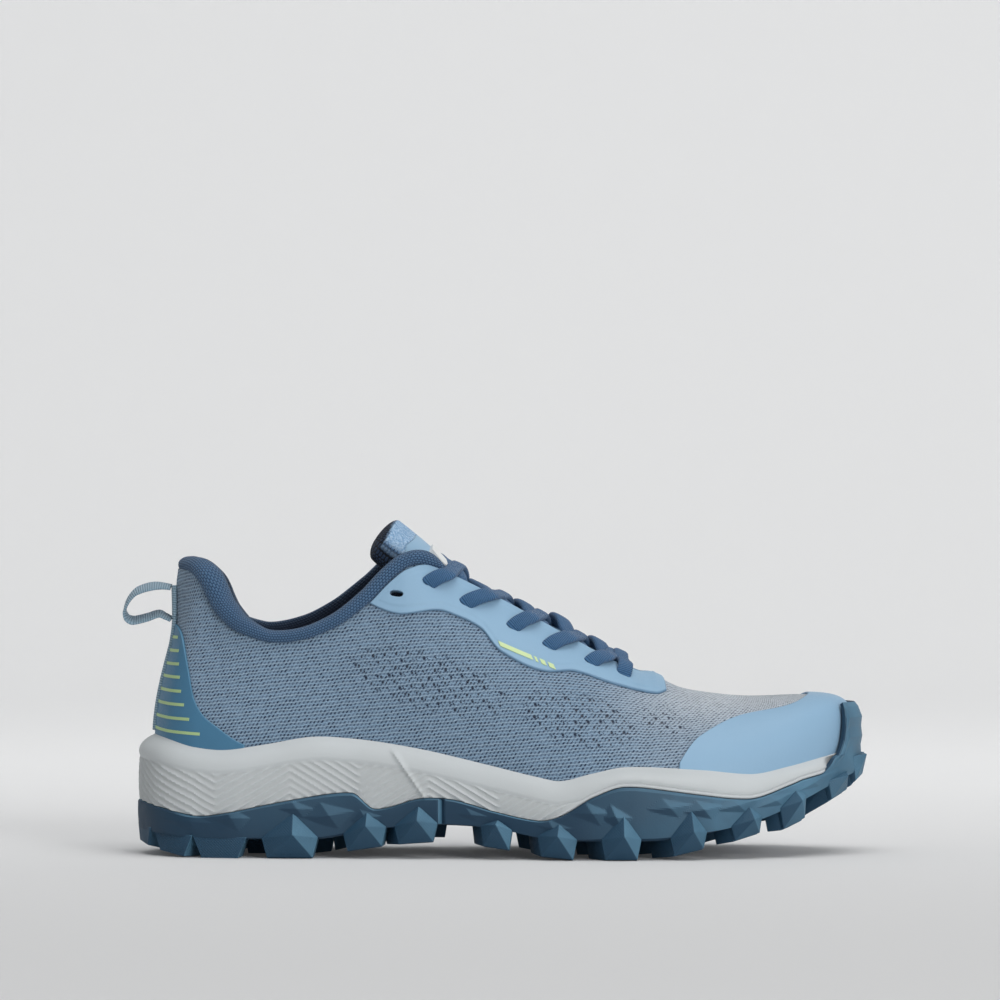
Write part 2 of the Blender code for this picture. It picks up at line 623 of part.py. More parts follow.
def build_outsole():
    """Rubber outsole: a shallow tray that climbs the toe, with lugs under it and along its edges."""

    def line(kind):
        def points(side, s):
            flare, rim, edge = sole_sizes(side, s)
            climb = bumper_share(side, s, 0.0)
            inside = flare - RUBBER

            def climbing(share, reach, offset):
                height = mix(edge, BUMPER_TOP, climb * share)
                on_upper = skin(side, s, at_height(side, s, np.maximum(height, rim)), offset)
                leave = smooth(height, edge, rim)[..., None]
                return mix(sole_point(side, s, reach, height), on_upper, leave)

            if kind == "floor":
                return sole_point(side, s, inside, lambda x: SOLE["base"](x) + RUBBER)
            if kind.startswith("inner_"):
                thinned = inside + BUMPER_THIN * bumper_share(side, s, BUMPER_FADE)
                return climbing(BUMPER_LEVELS[kind[6:]], thinned, BUMPER_INSIDE)
            if kind.startswith("outer_"):
                return climbing(BUMPER_LEVELS[kind[6:]], flare + OUTSOLE_EDGE_REACH, BUMPER_OUTSIDE)
            if kind == "swell":
                height = mix(edge, SOLE["base"](SECTION[side]["x"](s)), OUTSOLE_SWELL_AT)
                return sole_point(side, s, flare + OUTSOLE_SWELL, height)
            if kind == "corner":
                return sole_point(side, s, flare - OUTSOLE_CORNER, lambda x: SOLE["base"](x) + OUTSOLE_CORNER)
            return sole_point(side, s, flare - OUTSOLE_BASE_INSET, SOLE["base"])
        return points

    kinds = ("floor", "inner_low", "inner_middle", "inner_top", "outer_top", "outer_middle", "outer_low",
             "swell", "corner", "base")
    outsole = add_piece("outsole", *stack_rings([round_the_shoe(line(kind)) for kind in kinds]))
    places = [(side, start, end) for start, end in EDGE_LUGS for side in SIDES]
    join(outsole, [lug_block(*place) for place in places])
    join(outsole, [lug_nose(*place) for place in places])
    join(outsole, [middle_lug(x, y) for x in MIDDLE_LUGS for y in (-MIDDLE_LUG_Y, MIDDLE_LUG_Y)])


def lug_block(side, start, end):
    """Lug at the sole's edge: a block that narrows towards its foot."""
    inset = LUG_TAPER * (end - start)
    ends = np.array((start, end))
    foot_ends = np.array((start + inset, end - inset))
    flare = SOLE["flare"](SECTION[side]["x"](ends))
    return hull(np.concatenate((
        sole_point(side, ends, flare - LUG_DEPTH, lambda x: SOLE["base"](x) + LUG_ROOT),
        sole_point(side, ends, flare - RUBBER, lambda x: SOLE["base"](x) + LUG_ROOT),
        sole_point(side, foot_ends, flare - LUG_DEPTH + LUG_FOOT_INSET, SOLE["tread"]),
        sole_point(side, foot_ends, flare - LUG_FOOT_INSET, SOLE["tread"]),
    )))


def lug_nose(side, start, end):
    """Rocky outer face of an edge lug: it stands out in the middle and runs to a peak up the wall."""
    middle = np.array(((start + end) / 2,))
    inset = LUG_TAPER * (end - start)
    ends = np.array((start, end))
    foot_ends = np.array((start + inset, end - inset))
    flare, _, edge = sole_sizes(side, middle)
    inside = flare - NOSE_ROOT
    base = SOLE["base"](SECTION[side]["x"](middle))
    peak = np.minimum(edge - NOSE_BELOW_EDGE, base + LUG_PEAK)
    return hull(np.concatenate((
        sole_point(side, ends, inside, lambda x: SOLE["base"](x) + LUG_ROOT),
        sole_point(side, foot_ends, inside, lambda x: SOLE["tread"](x) + NOSE_FOOT_RISE),
        sole_point(side, foot_ends, flare - LUG_FOOT_INSET, lambda x: SOLE["tread"](x) + NOSE_FOOT_RISE),
        sole_point(side, middle, flare - LUG_FOOT_INSET, peak),
        sole_point(side, middle, flare + LUG_REACH,
                   lambda x: mix(SOLE["tread"](x), SOLE["base"](x), LUG_REACH_AT)),
    )))


def middle_lug(x, y):
    """Lug under the middle of the sole, narrowed towards its foot."""
    half_x, half_y = MIDDLE_LUG_HALF
    corners = []
    for across_x in (-1, 1):
        for across_y in (-1, 1):
            px = x + across_x * half_x
            py = y + across_y * half_y
            corners.append((px, py, SOLE["base"](px) + LUG_ROOT))
            foot_x = mix(x, px, MIDDLE_FOOT[0])
            foot_y = mix(y, py, MIDDLE_FOOT[1])
            corners.append((foot_x, foot_y, SOLE["tread"](foot_x)))
    return hull(corners)


def build_insole():
    """Insole on the midsole's bed, inside the upper's wall."""
    inset = -(WALL + FILM_GAP)
    bottom = round_the_shoe(lambda side, s: skin(side, s, 0.0, inset) * (1, 1, 0)
                            + SOLE["feather"](SECTION[side]["x"](s))[..., None] * UP)
    top = round_the_shoe(lambda side, s: skin(
        side, s, at_height(side, s, SOLE["feather"](SECTION[side]["x"](s)) + INSOLE), inset))
    add_piece("insole", *stack_rings([bottom, top]))


def tongue_section(x):
    """Five (y, z) points across the tongue's upper face in an upright section."""
    height = TONGUE["height"](x)
    half = TONGUE["half_width"](x)
    drop = TONGUE["edge_drop"](x)
    points = []
    for side, sign in (("lateral", -1.0), ("medial", 1.0)):
        if x >= TONGUE_TUCKED and x < SECTIONS["throat_end"][0]:
            s = station_at(x)
            edge = skin(side, s, TONGUE_EDGE_AT, -(WALL + TONGUE_CLEAR))
            under = skin(side, s, 1.0, -(WALL + TONGUE_CLEAR))
        else:
            edge = (x, sign * half, height - drop)
            under = (x, sign * half * TONGUE_SHOULDER[0], height - drop * TONGUE_SHOULDER[1])
        points.append([(edge[1], edge[2]), (under[1], under[2])])
    middle = (points[0][1][0] + points[1][1][0]) / 2
    return points[0] + [(middle, float(height))] + points[1][::-1]


def tongue_top(x, y):
    """Height of the tongue's upper face."""
    section = np.array(tongue_section(x))
    return curve(section[:, 0], section[:, 1])(y)


def build_tongue():
    """Padded tongue, tucked under the eyestay and leaning back at its free end."""
    across = np.linspace(0, 1, TONGUE_FACETS + 1)
    tucked = SECTION["lateral"]["x"](STATIONS)
    tucked = tucked[(tucked > TONGUE_TUCKED) & (tucked < TONGUE_SECTIONS[0][0])]
    free = [row[0] for row in TONGUE_SECTIONS if row[0] < TONGUE_TUCKED]
    upper_face = []
    lower_face = []
    for x in (TONGUE_SECTIONS[0][0], *tucked[::-1], *free):
        height, thickness, lean = (TONGUE[name](x) for name in ("height", "thickness", "lean"))
        section = np.array(tongue_section(x))
        y = mix(section[0, 0], section[-1, 0], across)
        fall = height - curve(section[:, 0], section[:, 1])(y)
        normal = np.array((np.sin(lean), 0.0, np.cos(lean)))
        line = np.stack((x + 0.0 * y, y, height + 0.0 * y), axis=-1) - fall[:, None] * normal
        taper = 1 - TONGUE_EDGE_THIN * np.abs(2 * across - 1) ** 3
        upper_face.append(line)
        lower_face.append(line - (thickness * taper)[:, None] * normal)
    add_piece("tongue", *weld(*plate(np.array(lower_face), np.array(upper_face))))


def add_film(name, places, span, inner, thickness):
    """Plate on both sides of the upper, joined where they meet; span(side, s) gives low and high."""
    share = np.linspace(0, 1, FILM_ROWS[name] + 1)[:, None]
    halves = []
    for side in SIDES:
        low, high = span(side, places)
        grids = [skin(side, places, mix(low, high, share), offset) for offset in (inner, inner + thickness)]
        halves.append(plate(*grids))
    add_piece(name, *weld(*together(halves)))


def above_rim(side, s):
    """Place up each rib just above the midsole's rim."""
    return at_height(side, s, SOLE["rim"](SECTION[side]["x"](s)) + RIM_CLEAR)


def build_toe_cap():
    """Film round the toe, from the midsole's rim up to its border across the vamp."""
    border = curve(*zip(*TOE_CAP_BORDER))
    places = stations_between(TOE_CAP_START, LENGTH)

    def span(side, s):
        low = above_rim(side, s)
        return low, under_border(side, s, border, low)

    add_film("toe_cap", places, span, FILM_GAP, FILM)


def build_heel_counter():
    """Film round the heel, highest at the back."""
    border = curve(*zip(*COUNTER_BORDER))
    places = stations_between(0.0, COUNTER_END)

    def span(side, s):
        low = above_rim(side, s)
        return low, under_border(side, s, border, low)

    add_film("heel_counter", places, span, FILM_GAP, FILM)


def build_eyestay():
    """Film along both edges of the throat, closed across the vamp below it."""
    border = curve(*zip(*EYESTAY_BORDER))
    places = stations_between(EYESTAY_START, EYESTAY_END)

    def span(side, s):
        high = mix(EYESTAY_UNDER_COLLAR, 1.0, smooth(SECTION[side]["x"](s), *EYESTAY_STEP))
        return under_border(side, s, border, 0.0), high

    add_film("eyestay", places, span, FILM_GAP, EYESTAY_FILM)


def collar_outline(side, s):
    """Outline of the padded collar at one station: a roll on the upper's edge and its lining inside."""
    edge = skin(side, s, 1.0, 0.0)
    out = outward(side, s)
    size = mix(1.0, COLLAR_THIN, smooth(SECTION[side]["x"](s), COLLAR_THIN_FROM, COLLAR_END))
    roll = [edge + GAP * UP + size * (u * out + v * UP) for u, v in COLLAR_ROLL]
    places = [at_height(side, s, edge[2] - depth) for depth, _ in COLLAR_LINING]
    pads = [size * pad for _, pad in COLLAR_LINING]
    inner = [skin(side, s, t, -(WALL + GAP + pad)) for t, pad in zip(places, pads)]
    outer = [skin(side, s, t, -(WALL + FILM_GAP)) for t in (1.0, *places)]
    corner = edge + GAP * UP - (WALL + GAP) * out
    return np.array(roll + inner + outer[::-1] + [corner])


def build_collar():
    """Padded collar from one end of the eyestay round the heel to the other."""
    places = stations_between(0.0, COLLAR_END)
    lateral = [collar_outline("lateral", s) for s in places[::-1]]
    medial = [collar_outline("medial", s) for s in places[1:]]
    add_piece("collar", *tube(np.array(lateral + medial)))


def build_heel_tape():
    """Webbing up the back seam, over the heel counter."""
    places = np.linspace(0, WEBBING_WIDTH / 2, 3)

    def span(side, s):
        return at_height(side, s, TAPE_FOOT), at_height(side, s, TAPE_TOP)

    add_film("heel_tape", places, span, TAPE_INSIDE, WEBBING_THICK)


def build_pull_loop():
    """Loop of webbing behind the heel, both its ends on the heel tape."""
    off_tape = TAPE_INSIDE + WEBBING_THICK + GAP

    def seat(height):
        return skin("lateral", 0.0, at_height("lateral", 0.0, height), off_tape)[[0, 2]]

    line = np.array([seat(PULL_LOOP[0][1]), *PULL_LOOP[1:-1], seat(PULL_LOOP[-1][1])])
    centre = np.stack((line[:, 0], 0.0 * line[:, 0], line[:, 1]), axis=-1)
    along = unit(np.gradient(centre, axis=0))
    tilt = np.interp(np.arange(len(line)), (0, 2, len(line) - 3, len(line) - 1), (0, LOOP_TILT, LOOP_TILT, 0))
    across = np.stack((0.0 * tilt, np.cos(tilt), np.sin(tilt)), axis=-1)
    add_piece("pull_loop", *tube(ribbon(centre, along, across, WEBBING_WIDTH, WEBBING_THICK)))


def ribbon(centre, along, across, width, thick):
    """Outlines of a flat ribbon along a line."""
    face = unit(np.cross(along, across)) * thick / 2
    side = across * width / 2
    corners = (centre - side - face, centre + side - face, centre + side + face, centre - side + face)
    return np.stack(corners, axis=1)


def throat_edge(side, x):
    """Point of the throat's edge at this x."""
    return rib(side, station_at(x), 1.0)


def lace_height(x, y):
    """Height of a lace's middle line: over the tongue inside the throat, over the eyestay beside it."""
    for side, sign in (("lateral", -1.0), ("medial", 1.0)):
        if sign * y > sign * throat_edge(side, x)[1]:
            s = station_at(x)
            t = crossing(side, s, lambda p: sign * (y - p[..., 1]), EYESTAY_FROM, 1.0, LACE_OVER_EYESTAY)
            return float(skin(side, s, t, LACE_OVER_EYESTAY)[2])
    return float(tongue_top(x, y)) + LACE_OVER_TONGUE


def eyelet(side, pair):
    """Plan point of a lace where it meets its eyelet."""
    x, height = EYELETS[pair]
    s = station_at(x)
    return skin(side, s, at_height(side, s, height), LACE_OVER_EYESTAY)[:2]


def lace_strand(start, end):
    """Flat strand pulled taut between two plan points, over the highest points below it."""
    x_middle = (start[0] + end[0]) / 2
    slope = (top_height(x_middle + LACE_WIDTH) - top_height(x_middle - LACE_WIDTH)) / (2 * LACE_WIDTH)
    share = np.linspace(0, 1, LACE_SAMPLES)
    low = []
    for x, y in mix(start, end, share[:, None]):
        heights = [lace_height(x + step, y) - slope * step for step in (-LACE_WIDTH / 2, 0.0, LACE_WIDTH / 2)]
        low.append(max(heights))
    low = np.array(low)
    taut = []
    for i in range(len(share)):
        while len(taut) > 1:
            a, b = taut[-2:]
            if (low[b] - low[a]) * (share[i] - share[a]) > (low[i] - low[a]) * (share[b] - share[a]):
                break
            taut.pop()
        taut.append(i)
    centre = np.column_stack((mix(start, end, share[taut][:, None]), low[taut]))
    along = unit(np.gradient(centre, axis=0))
    throat = unit(np.array((1.0, 0.0, slope)))
    across = unit(throat - np.sum(along * throat, axis=1, keepdims=True) * along)
    return tube(ribbon(centre, along, across, LACE_WIDTH, LACE_THICK))


def build_laces():
    """Flat lace: a bar at the lowest eyelets and a cross between each pair and the next."""
    for pair in range(len(EYELETS) - 1):
        strands = []
        for side, other in SIDES.items():
            back = LACE_BACK if pair + 2 < len(EYELETS) else LACE_BACK + LACE_WIDTH / 2
            under = throat_edge(other, EYELETS[pair + 1][0] - back)[:2]
            inward = np.array((0.0, LACE_UNDER if other == "lateral" else -LACE_UNDER))
            strands.append(lace_strand(eyelet(side, pair), under + inward))
        cross = add_piece("lace_cross_%d" % (pair + 1), *strands[0], finish="lace")
        join(cross, strands[1:])
    bar = lace_strand(eyelet("lateral", -1), eyelet("medial", -1))
    add_piece("lace_bar", *bar, finish="lace")


def remove_all():
    for piece in list(bpy.data.objects):
        bpy.data.objects.remove(piece, do_unlink=True)


def stand_on_origin():
    """Hang every piece on one empty, so that the middle of the shoe's box stands on the origin."""
    pieces = list(bpy.data.objects)
    corners = np.concatenate([[v.co[:] for v in piece.data.vertices] for piece in pieces])
    low = corners.min(axis=0)
    high = corners.max(axis=0)
    shoe = bpy.data.objects.new("shoe", None)
    bpy.context.collection.objects.link(shoe)
    shoe.location = (-(low[0] + high[0]) / 2, -(low[1] + high[1]) / 2, -low[2])
    for piece in pieces:
        piece.parent = shoe
    print("shoe placed at", [round(value / METRES, 3) for value in shoe.location])


remove_all()
build_outsole()
build_midsole()
build_insole()
build_upper()
build_tongue()
build_toe_cap()
build_heel_counter()
build_eyestay()
build_collar()
build_heel_tape()
build_pull_loop()
build_laces()
stand_on_origin()
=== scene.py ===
import math

import bmesh
import bpy
import numpy as np
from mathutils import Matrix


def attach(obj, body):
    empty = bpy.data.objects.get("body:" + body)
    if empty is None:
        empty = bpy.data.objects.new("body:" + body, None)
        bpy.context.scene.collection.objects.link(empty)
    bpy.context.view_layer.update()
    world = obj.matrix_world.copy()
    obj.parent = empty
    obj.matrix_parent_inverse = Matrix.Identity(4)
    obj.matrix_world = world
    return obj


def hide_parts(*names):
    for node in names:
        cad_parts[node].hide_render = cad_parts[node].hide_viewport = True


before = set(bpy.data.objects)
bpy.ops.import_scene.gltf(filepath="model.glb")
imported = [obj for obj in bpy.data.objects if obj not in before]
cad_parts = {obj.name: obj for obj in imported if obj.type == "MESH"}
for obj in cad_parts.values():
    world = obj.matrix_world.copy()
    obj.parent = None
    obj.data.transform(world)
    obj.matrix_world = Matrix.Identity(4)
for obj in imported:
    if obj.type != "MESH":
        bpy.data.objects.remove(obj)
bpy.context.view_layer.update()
print("frame loaded,", len(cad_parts), "solids")

mm = 0.001
standPoint = np.array((-134.479, 2.110, 0.0))  # drawing origin to the frame's origin, mm
upward = np.array((0.0, 0.0, 1.0))
otherSide = {"lateral": "medial", "medial": "lateral"}
sideSign = {"lateral": -1.0, "medial": 1.0}

# the last: sections from heel to toe, as in the solids
lastColumns = (
    "x", "lateral", "medial", "topX", "topLateral", "topMedial", "bulge", "wall", "shoulder", "drop",
)
lastSections = (
    (8.5, 0.0, 0.0, 17.0, 0.0, 0.0, 5.5, 0.42, -3.5, 0.30),
    (13.8, -19.0, 18.5, 20.4, -13.5, 13.5, 5.0, 0.42, -2.0, 0.30),
    (24.0, -28.5, 28.0, 29.0, -21.5, 21.5, 3.5, 0.42, 0.0, 0.30),
    (42.0, -32.8, 32.0, 43.0, -26.0, 26.0, 2.0, 0.42, 1.5, 0.30),
    (60.0, -33.8, 32.0, 60.0, -27.5, 27.0, 1.5, 0.42, 3.0, 0.30),
    (80.0, -34.5, 30.5, 80.0, -27.5, 27.0, 1.5, 0.42, 4.0, 0.28),
    (100.0, -36.5, 29.5, 100.0, -24.5, 25.5, 1.5, 0.42, 7.0, 0.25),
    (115.0, -38.5, 30.0, 115.0, -19.0, 21.5, 2.0, 0.42, 11.0, 0.20),
    (135.0, -42.5, 33.0, 135.0, -15.5, 19.0, 2.0, 0.42, 13.0, 0.20),
    (155.0, -46.5, 38.0, 155.0, -13.5, 17.5, 2.0, 0.45, 15.0, 0.20),
    (172.0, -48.5, 42.0, 172.0, -12.0, 16.5, 2.0, 0.45, 16.0, 0.18),
    (186.0, -48.3, 44.0, 186.0, -9.0, 14.5, 2.0, 0.46, 17.0, 0.15),
    (195.0, -47.5, 44.5, 195.0, 3.0, 3.0, 2.0, 0.48, 20.0, 0.05),
    (212.0, -44.5, 44.0, 212.0, 3.5, 3.5, 2.0, 0.52, 24.0, 0.0),
    (232.0, -36.5, 40.5, 229.0, 4.0, 4.0, 2.0, 0.65, 26.0, 0.0),
    (252.0, -24.0, 32.0, 238.0, 5.0, 5.0, 2.0, 0.85, 28.0, -0.02),
    (265.0, -9.0, 21.0, 242.0, 5.5, 5.5, 2.2, 0.98, 29.0, -0.04),
    (270.5, 6.0, 6.0, 243.0, 6.0, 6.0, 2.4, 1.0, 29.0, -0.04),
)
throatEndRow = 12
ghostRows = 3  # rows of the other side, so that curves run on round heel and toe

soleColumns = ("x", "feather", "rim", "edge", "base", "tread", "flare")
soleSections = (
    (0.0, 30.0, 46.3, 20.5, 11.0, 5.5, 8.2),
    (12.0, 29.6, 44.2, 17.8, 8.8, 1.9, 7.4),
    (24.0, 29.1, 40.7, 15.5, 7.4, 0.0, 5.6),
    (36.0, 28.6, 39.9, 16.9, 7.0, 0.0, 5.2),
    (50.0, 28.4, 41.9, 19.8, 7.0, 0.0, 5.0),
    (68.0, 28.1, 44.8, 23.1, 7.0, 0.0, 4.8),
    (82.0, 28.0, 44.2, 24.4, 9.0, 2.8, 4.7),
    (91.0, 27.7, 43.2, 18.4, 10.6, 4.1, 4.6),
    (110.0, 26.7, 40.0, 22.6, 12.5, 6.2, 4.4),
    (120.0, 26.0, 37.8, 22.0, 12.5, 5.8, 4.2),
    (136.0, 24.2, 34.0, 17.6, 11.4, 4.2, 4.0),
    (152.0, 22.4, 30.2, 14.5, 8.2, 1.4, 4.2),
    (160.0, 21.5, 28.8, 16.3, 7.0, 0.0, 4.3),
    (172.0, 20.6, 31.5, 23.2, 7.0, 0.0, 4.5),
    (184.0, 20.1, 33.7, 27.1, 7.0, 0.0, 4.5),
    (192.0, 20.0, 33.6, 26.7, 7.0, 0.0, 4.5),
    (212.0, 21.7, 32.5, 24.0, 9.3, 3.7, 4.5),
    (230.0, 23.8, 31.0, 22.2, 13.3, 8.0, 4.5),
    (245.0, 26.8, 33.6, 26.5, 19.2, 14.2, 4.5),
    (258.0, 30.5, 36.7, 31.8, 26.0, 22.4, 4.4),
    (268.0, 34.0, 38.8, 36.0, 30.6, 28.6, 4.3),
    (276.0, 36.0, 39.5, 38.0, 33.1, 33.0, 4.2),
)
leastSide = 5.5  # foam between rubber and rim
# the upper's top edge: x, height
topLine = (
    (15.0, 108.0), (20.0, 107.2), (25.0, 103.5), (32.0, 92.0), (40.0, 85.0), (53.0, 81.0),
    (63.0, 82.0), (75.0, 86.5), (88.0, 96.0), (97.0, 105.2), (103.0, 109.6), (108.0, 110.3),
    (115.0, 107.5), (140.0, 95.0), (160.0, 83.8), (190.0, 68.3), (195.0, 67.6), (206.0, 62.9),
    (225.0, 59.6), (244.0, 59.6),
)
# the inner side's top edge stands higher than the outer one by this: x, rise
innerRise = (
    (18.0, 0.0), (26.0, -2.0), (38.0, -1.8), (46.0, 0.6), (53.0, 2.4), (66.0, 4.0),
    (80.0, 5.0), (92.0, 4.2), (103.0, 1.8), (112.0, 0.0),
)
# soft swell of the padded heel under the collar: height, how far it stands out
heelSwell = ((78.0, 0.0), (86.0, 0.7), (92.0, 1.8), (98.0, 2.6), (103.0, 2.7), (107.0, 1.9), (110.0, 1.2))
swellWidth = 15.0


# smooth curve through values that does not overshoot
def throughPoints(knots, values):
    knots = np.asarray(knots, float)
    values = np.asarray(values, float)
    step = np.diff(values) / np.diff(knots)
    first = 2 * step[0] - step[1]
    last = 2 * step[-1] - step[-2]
    step = np.concatenate(([2 * first - step[0], first], step, [last, 2 * last - step[-1]]))
    change = np.abs(np.diff(step)) + np.abs(step[1:] + step[:-1]) / 2
    ahead = change[2:] + 1e-9
    behind = change[:-2] + 1e-9
    slopes = (ahead * step[1:-2] + behind * step[2:-1]) / (ahead + behind)

    def read(place):
        place = np.clip(place, knots[0], knots[-1])
        i = np.clip(np.searchsorted(knots, place, side="right") - 1, 0, len(knots) - 2)
        width = knots[i + 1] - knots[i]
        u = (place - knots[i]) / width
        start = (1 + 2 * u) * (1 - u) ** 2 * values[i] + u * (1 - u) ** 2 * width * slopes[i]
        end = u ** 2 * (3 - 2 * u) * values[i + 1] + u ** 2 * (u - 1) * width * slopes[i + 1]
        return start + end

    return read


def curve(table):
    return throughPoints(*zip(*table))


# curves over the first column of a table, by the names of the others
def curves(names, rows):
    columns = np.array(sorted(rows)).T
    return {name: throughPoints(columns[0], values) for name, values in zip(names[1:], columns[1:])}


def lengthsAlong(line):
    return np.concatenate(([0.0], np.cumsum(np.linalg.norm(np.diff(line, axis=0), axis=1))))


# smooth line in space through a few points, evenly sampled
def smoothLine(points, count):
    points = np.asarray(points, float)
    lengths = lengthsAlong(points)
    places = np.linspace(0, lengths[-1], count)
    return np.stack([throughPoints(lengths, column)(places) for column in points.T], axis=-1)


def ease(value, start, end):
    u = np.clip((value - start) / (end - start), 0, 1)
    return u * u * (3 - 2 * u)


def mix(a, b, share):
    return a + (b - a) * share


def unit(vectors):
    return vectors / np.maximum(np.linalg.norm(vectors, axis=-1, keepdims=True), 1e-12)


def bell(value, middle, width):
    return np.exp(-((value - middle) / width) ** 2)


# columns that fit together, as points
def pointsOf(*columns):
    return np.stack(np.broadcast_arrays(*columns), axis=-1)


# places from 0 to 1, closer together at both ends
def crowdedEnds(count):
    return 0.5 - 0.5 * np.cos(np.pi * np.linspace(0, 1, count))


def roundedEdge(distance, radius):
    return np.sqrt(1 - (1 - np.clip(distance / radius, 0, 1)) ** 2)


def circle(corners):
    angle = np.linspace(0, 2 * np.pi, corners, endpoint=False)
    return np.cos(angle), np.sin(angle)


# turns the wave of a circle into that of a rounded box
def boxed(wave, power):
    return np.sign(wave) * np.abs(wave) ** power


soleAt = curves(soleColumns, soleSections)
topHeight = curve(topLine)
riseAt = curve(innerRise)
swellAt = curve(heelSwell)
lastRows = dict(zip(lastColumns, np.array(lastSections).T))
outlineSteps = np.hypot(np.diff(lastRows["x"]), np.diff(lastRows["lateral"]))
outlineKnots = np.concatenate(([0.0], np.cumsum(outlineSteps)))
toeEnd = outlineKnots[-1]
throatEnd = outlineKnots[throatEndRow]


def sectionCurves(side):
    other = otherSide[side]
    pastToe = 2 * toeEnd - outlineKnots[-2:-2 - ghostRows:-1]
    knots = np.concatenate((-outlineKnots[ghostRows:0:-1], outlineKnots, pastToe))
    columns = {"y": (side, other), "topY": ("top" + side.title(), "top" + other.title())}
    found = {}
    for name in ("x", "y", "topX", "topY", "bulge", "wall", "shoulder", "drop"):
        own, ghost = (lastRows[column] for column in columns.get(name, (name, name)))
        values = np.concatenate((ghost[ghostRows:0:-1], own, ghost[-2:-2 - ghostRows:-1]))
        found[name] = throughPoints(knots, values)
    return found


section = {side: sectionCurves(side) for side in otherSide}


def xAt(side, s):
    return section[side]["x"](s)


def outward(side, s):
    step = 0.2
    alongX, alongY = (section[side][axis](s + step) - section[side][axis](s - step) for axis in "xy")
    sign = -sideSign[side]
    return unit(pointsOf(sign * alongY, -sign * alongX, 0.0))


# point of the upper: s along the foot outline, t up the rib from sole to top edge
def ribPoint(side, s, t):
    s, t = np.broadcast_arrays(np.asarray(s, float), np.asarray(t, float))
    at = {name: read(s) for name, read in section[side].items()}
    ridge = (at["topY"] + section[otherSide[side]]["topY"](s)) / 2
    topY = np.where(s >= throatEnd, ridge, at["topY"])
    out = outward(side, s)
    foot = pointsOf(at["x"], at["y"], soleAt["feather"](at["x"]))
    rim = topHeight(at["topX"]) + (riseAt(at["topX"]) if side == "medial" else 0.0)
    top = pointsOf(at["topX"], topY, rim)
    rise = (top - foot)[..., 2:]
    low = foot + at["bulge"][..., None] * out + at["wall"][..., None] * rise * upward
    high = top + at["shoulder"][..., None] * out - at["drop"][..., None] * rise * upward
    t = t[..., None]
    return (1 - t) ** 3 * foot + 3 * t * (1 - t) ** 2 * low + 3 * t * t * (1 - t) * high + t ** 3 * top


def ribNormal(side, s, t):
    alongStep = 0.4
    upStep = 0.01
    t = np.clip(t, upStep, 1 - 2 * upStep)
    along = ribPoint(side, s + alongStep, t) - ribPoint(side, s - alongStep, t)
    rising = ribPoint(side, s, t + upStep) - ribPoint(side, s, t - upStep)
    return unit(-sideSign[side] * np.cross(along, rising))


def skinPoint(side, s, t, offset):
    s, t, offset = np.broadcast_arrays(np.asarray(s, float), np.asarray(t, float), offset)
    bare = ribPoint(side, s, t)
    offset = offset + swellAt(bare[..., 2]) * bell(s, 0.0, swellWidth)
    normal = ribNormal(side, s, t)
    onRidge = ((t > 1 - 1e-6) & (s > throatEnd - 1e-6))[..., None]
    shared = unit(normal + ribNormal(otherSide[side], s, t))
    return bare + offset[..., None] * np.where(onRidge, shared, normal)


# place up each rib where above(points) turns positive
def crossing(side, s, above, low=0.0):
    halvings = 26
    s = np.asarray(s, float)
    low = np.zeros_like(s) + low
    high = np.ones_like(s)
    for _ in range(halvings):
        middle = (low + high) / 2
        over = above(ribPoint(side, s, middle)) > 0
        high = np.where(over, middle, high)
        low = np.where(over, low, middle)
    return (low + high) / 2


def atHeight(side, s, height):
    return crossing(side, s, lambda p: p[..., 2] - height)


def stationAt(x):
    places = np.linspace(0, toeEnd, 2000)
    return np.interp(x, xAt("lateral", places), places)


# weave coordinates run on round the shoe
def weaveAlong(side, s):
    return -sideSign[side] * s


# rib length up to each place, for weave coordinates
def ribLengths(side, s, t):
    fine = np.linspace(0, 1, 41)
    ribs = ribPoint(side, s[:, None], fine)
    return np.stack([np.interp(t[:, k], fine, lengthsAlong(rib)) for k, rib in enumerate(ribs)], axis=1)


def solePoint(side, s, reach, height):
    foot = pointsOf(xAt(side, s), section[side]["y"](s), 0.0)
    point = foot + np.asarray(reach + 0.0 * s)[..., None] * outward(side, s)
    point[..., 2] = height(point[..., 0]) if callable(height) else height
    return point


def soleSizes(side, s):
    x = xAt(side, s)
    flare = soleAt["flare"](x)
    rim = soleAt["rim"](x)
    edge = soleAt["edge"](x + outward(side, s)[..., 0] * flare)
    return flare, rim, np.minimum(edge, rim - leastSide)


def aboveBase(lift):
    return lambda x: soleAt["base"](x) + lift


def gridFaces(rows, columns, start=0, around=False):
    r = np.arange(rows - 1)[:, None]
    c = np.arange(columns if around else columns - 1)[None, :]
    a = start + r * columns + c
    b = start + r * columns + (c + 1) % columns
    return np.stack((a, b, b + columns, a + columns), axis=-1).reshape(-1, 4)


# points and faces with, where given, weave coordinates and masks for every point
def partOf(points, faces, uv=None, masks=None):
    part = {"points": points.reshape(-1, 3), "faces": faces}
    if uv is not None:
        part["uv"] = uv.reshape(-1, 2)
    part["masks"] = {name: mask.ravel() for name, mask in (masks or {}).items()}
    return part


# several parts as one
def together(parts):
    def joined(read):
        return np.concatenate([read(part) for part in parts])

    faces = []
    start = 0
    for part in parts:
        faces.extend(tuple(start + i for i in face) for face in part["faces"])
        start += len(part["points"])
    uv = joined(lambda part: part["uv"]) if "uv" in parts[0] else None
    masks = {name: joined(lambda part: part["masks"][name]) for name in parts[0]["masks"]}
    return partOf(joined(lambda part: part["points"]), faces, uv, masks)


def newObject(name, data):
    thing = bpy.data.objects.new(name, data)
    bpy.context.scene.collection.objects.link(thing)
    return thing


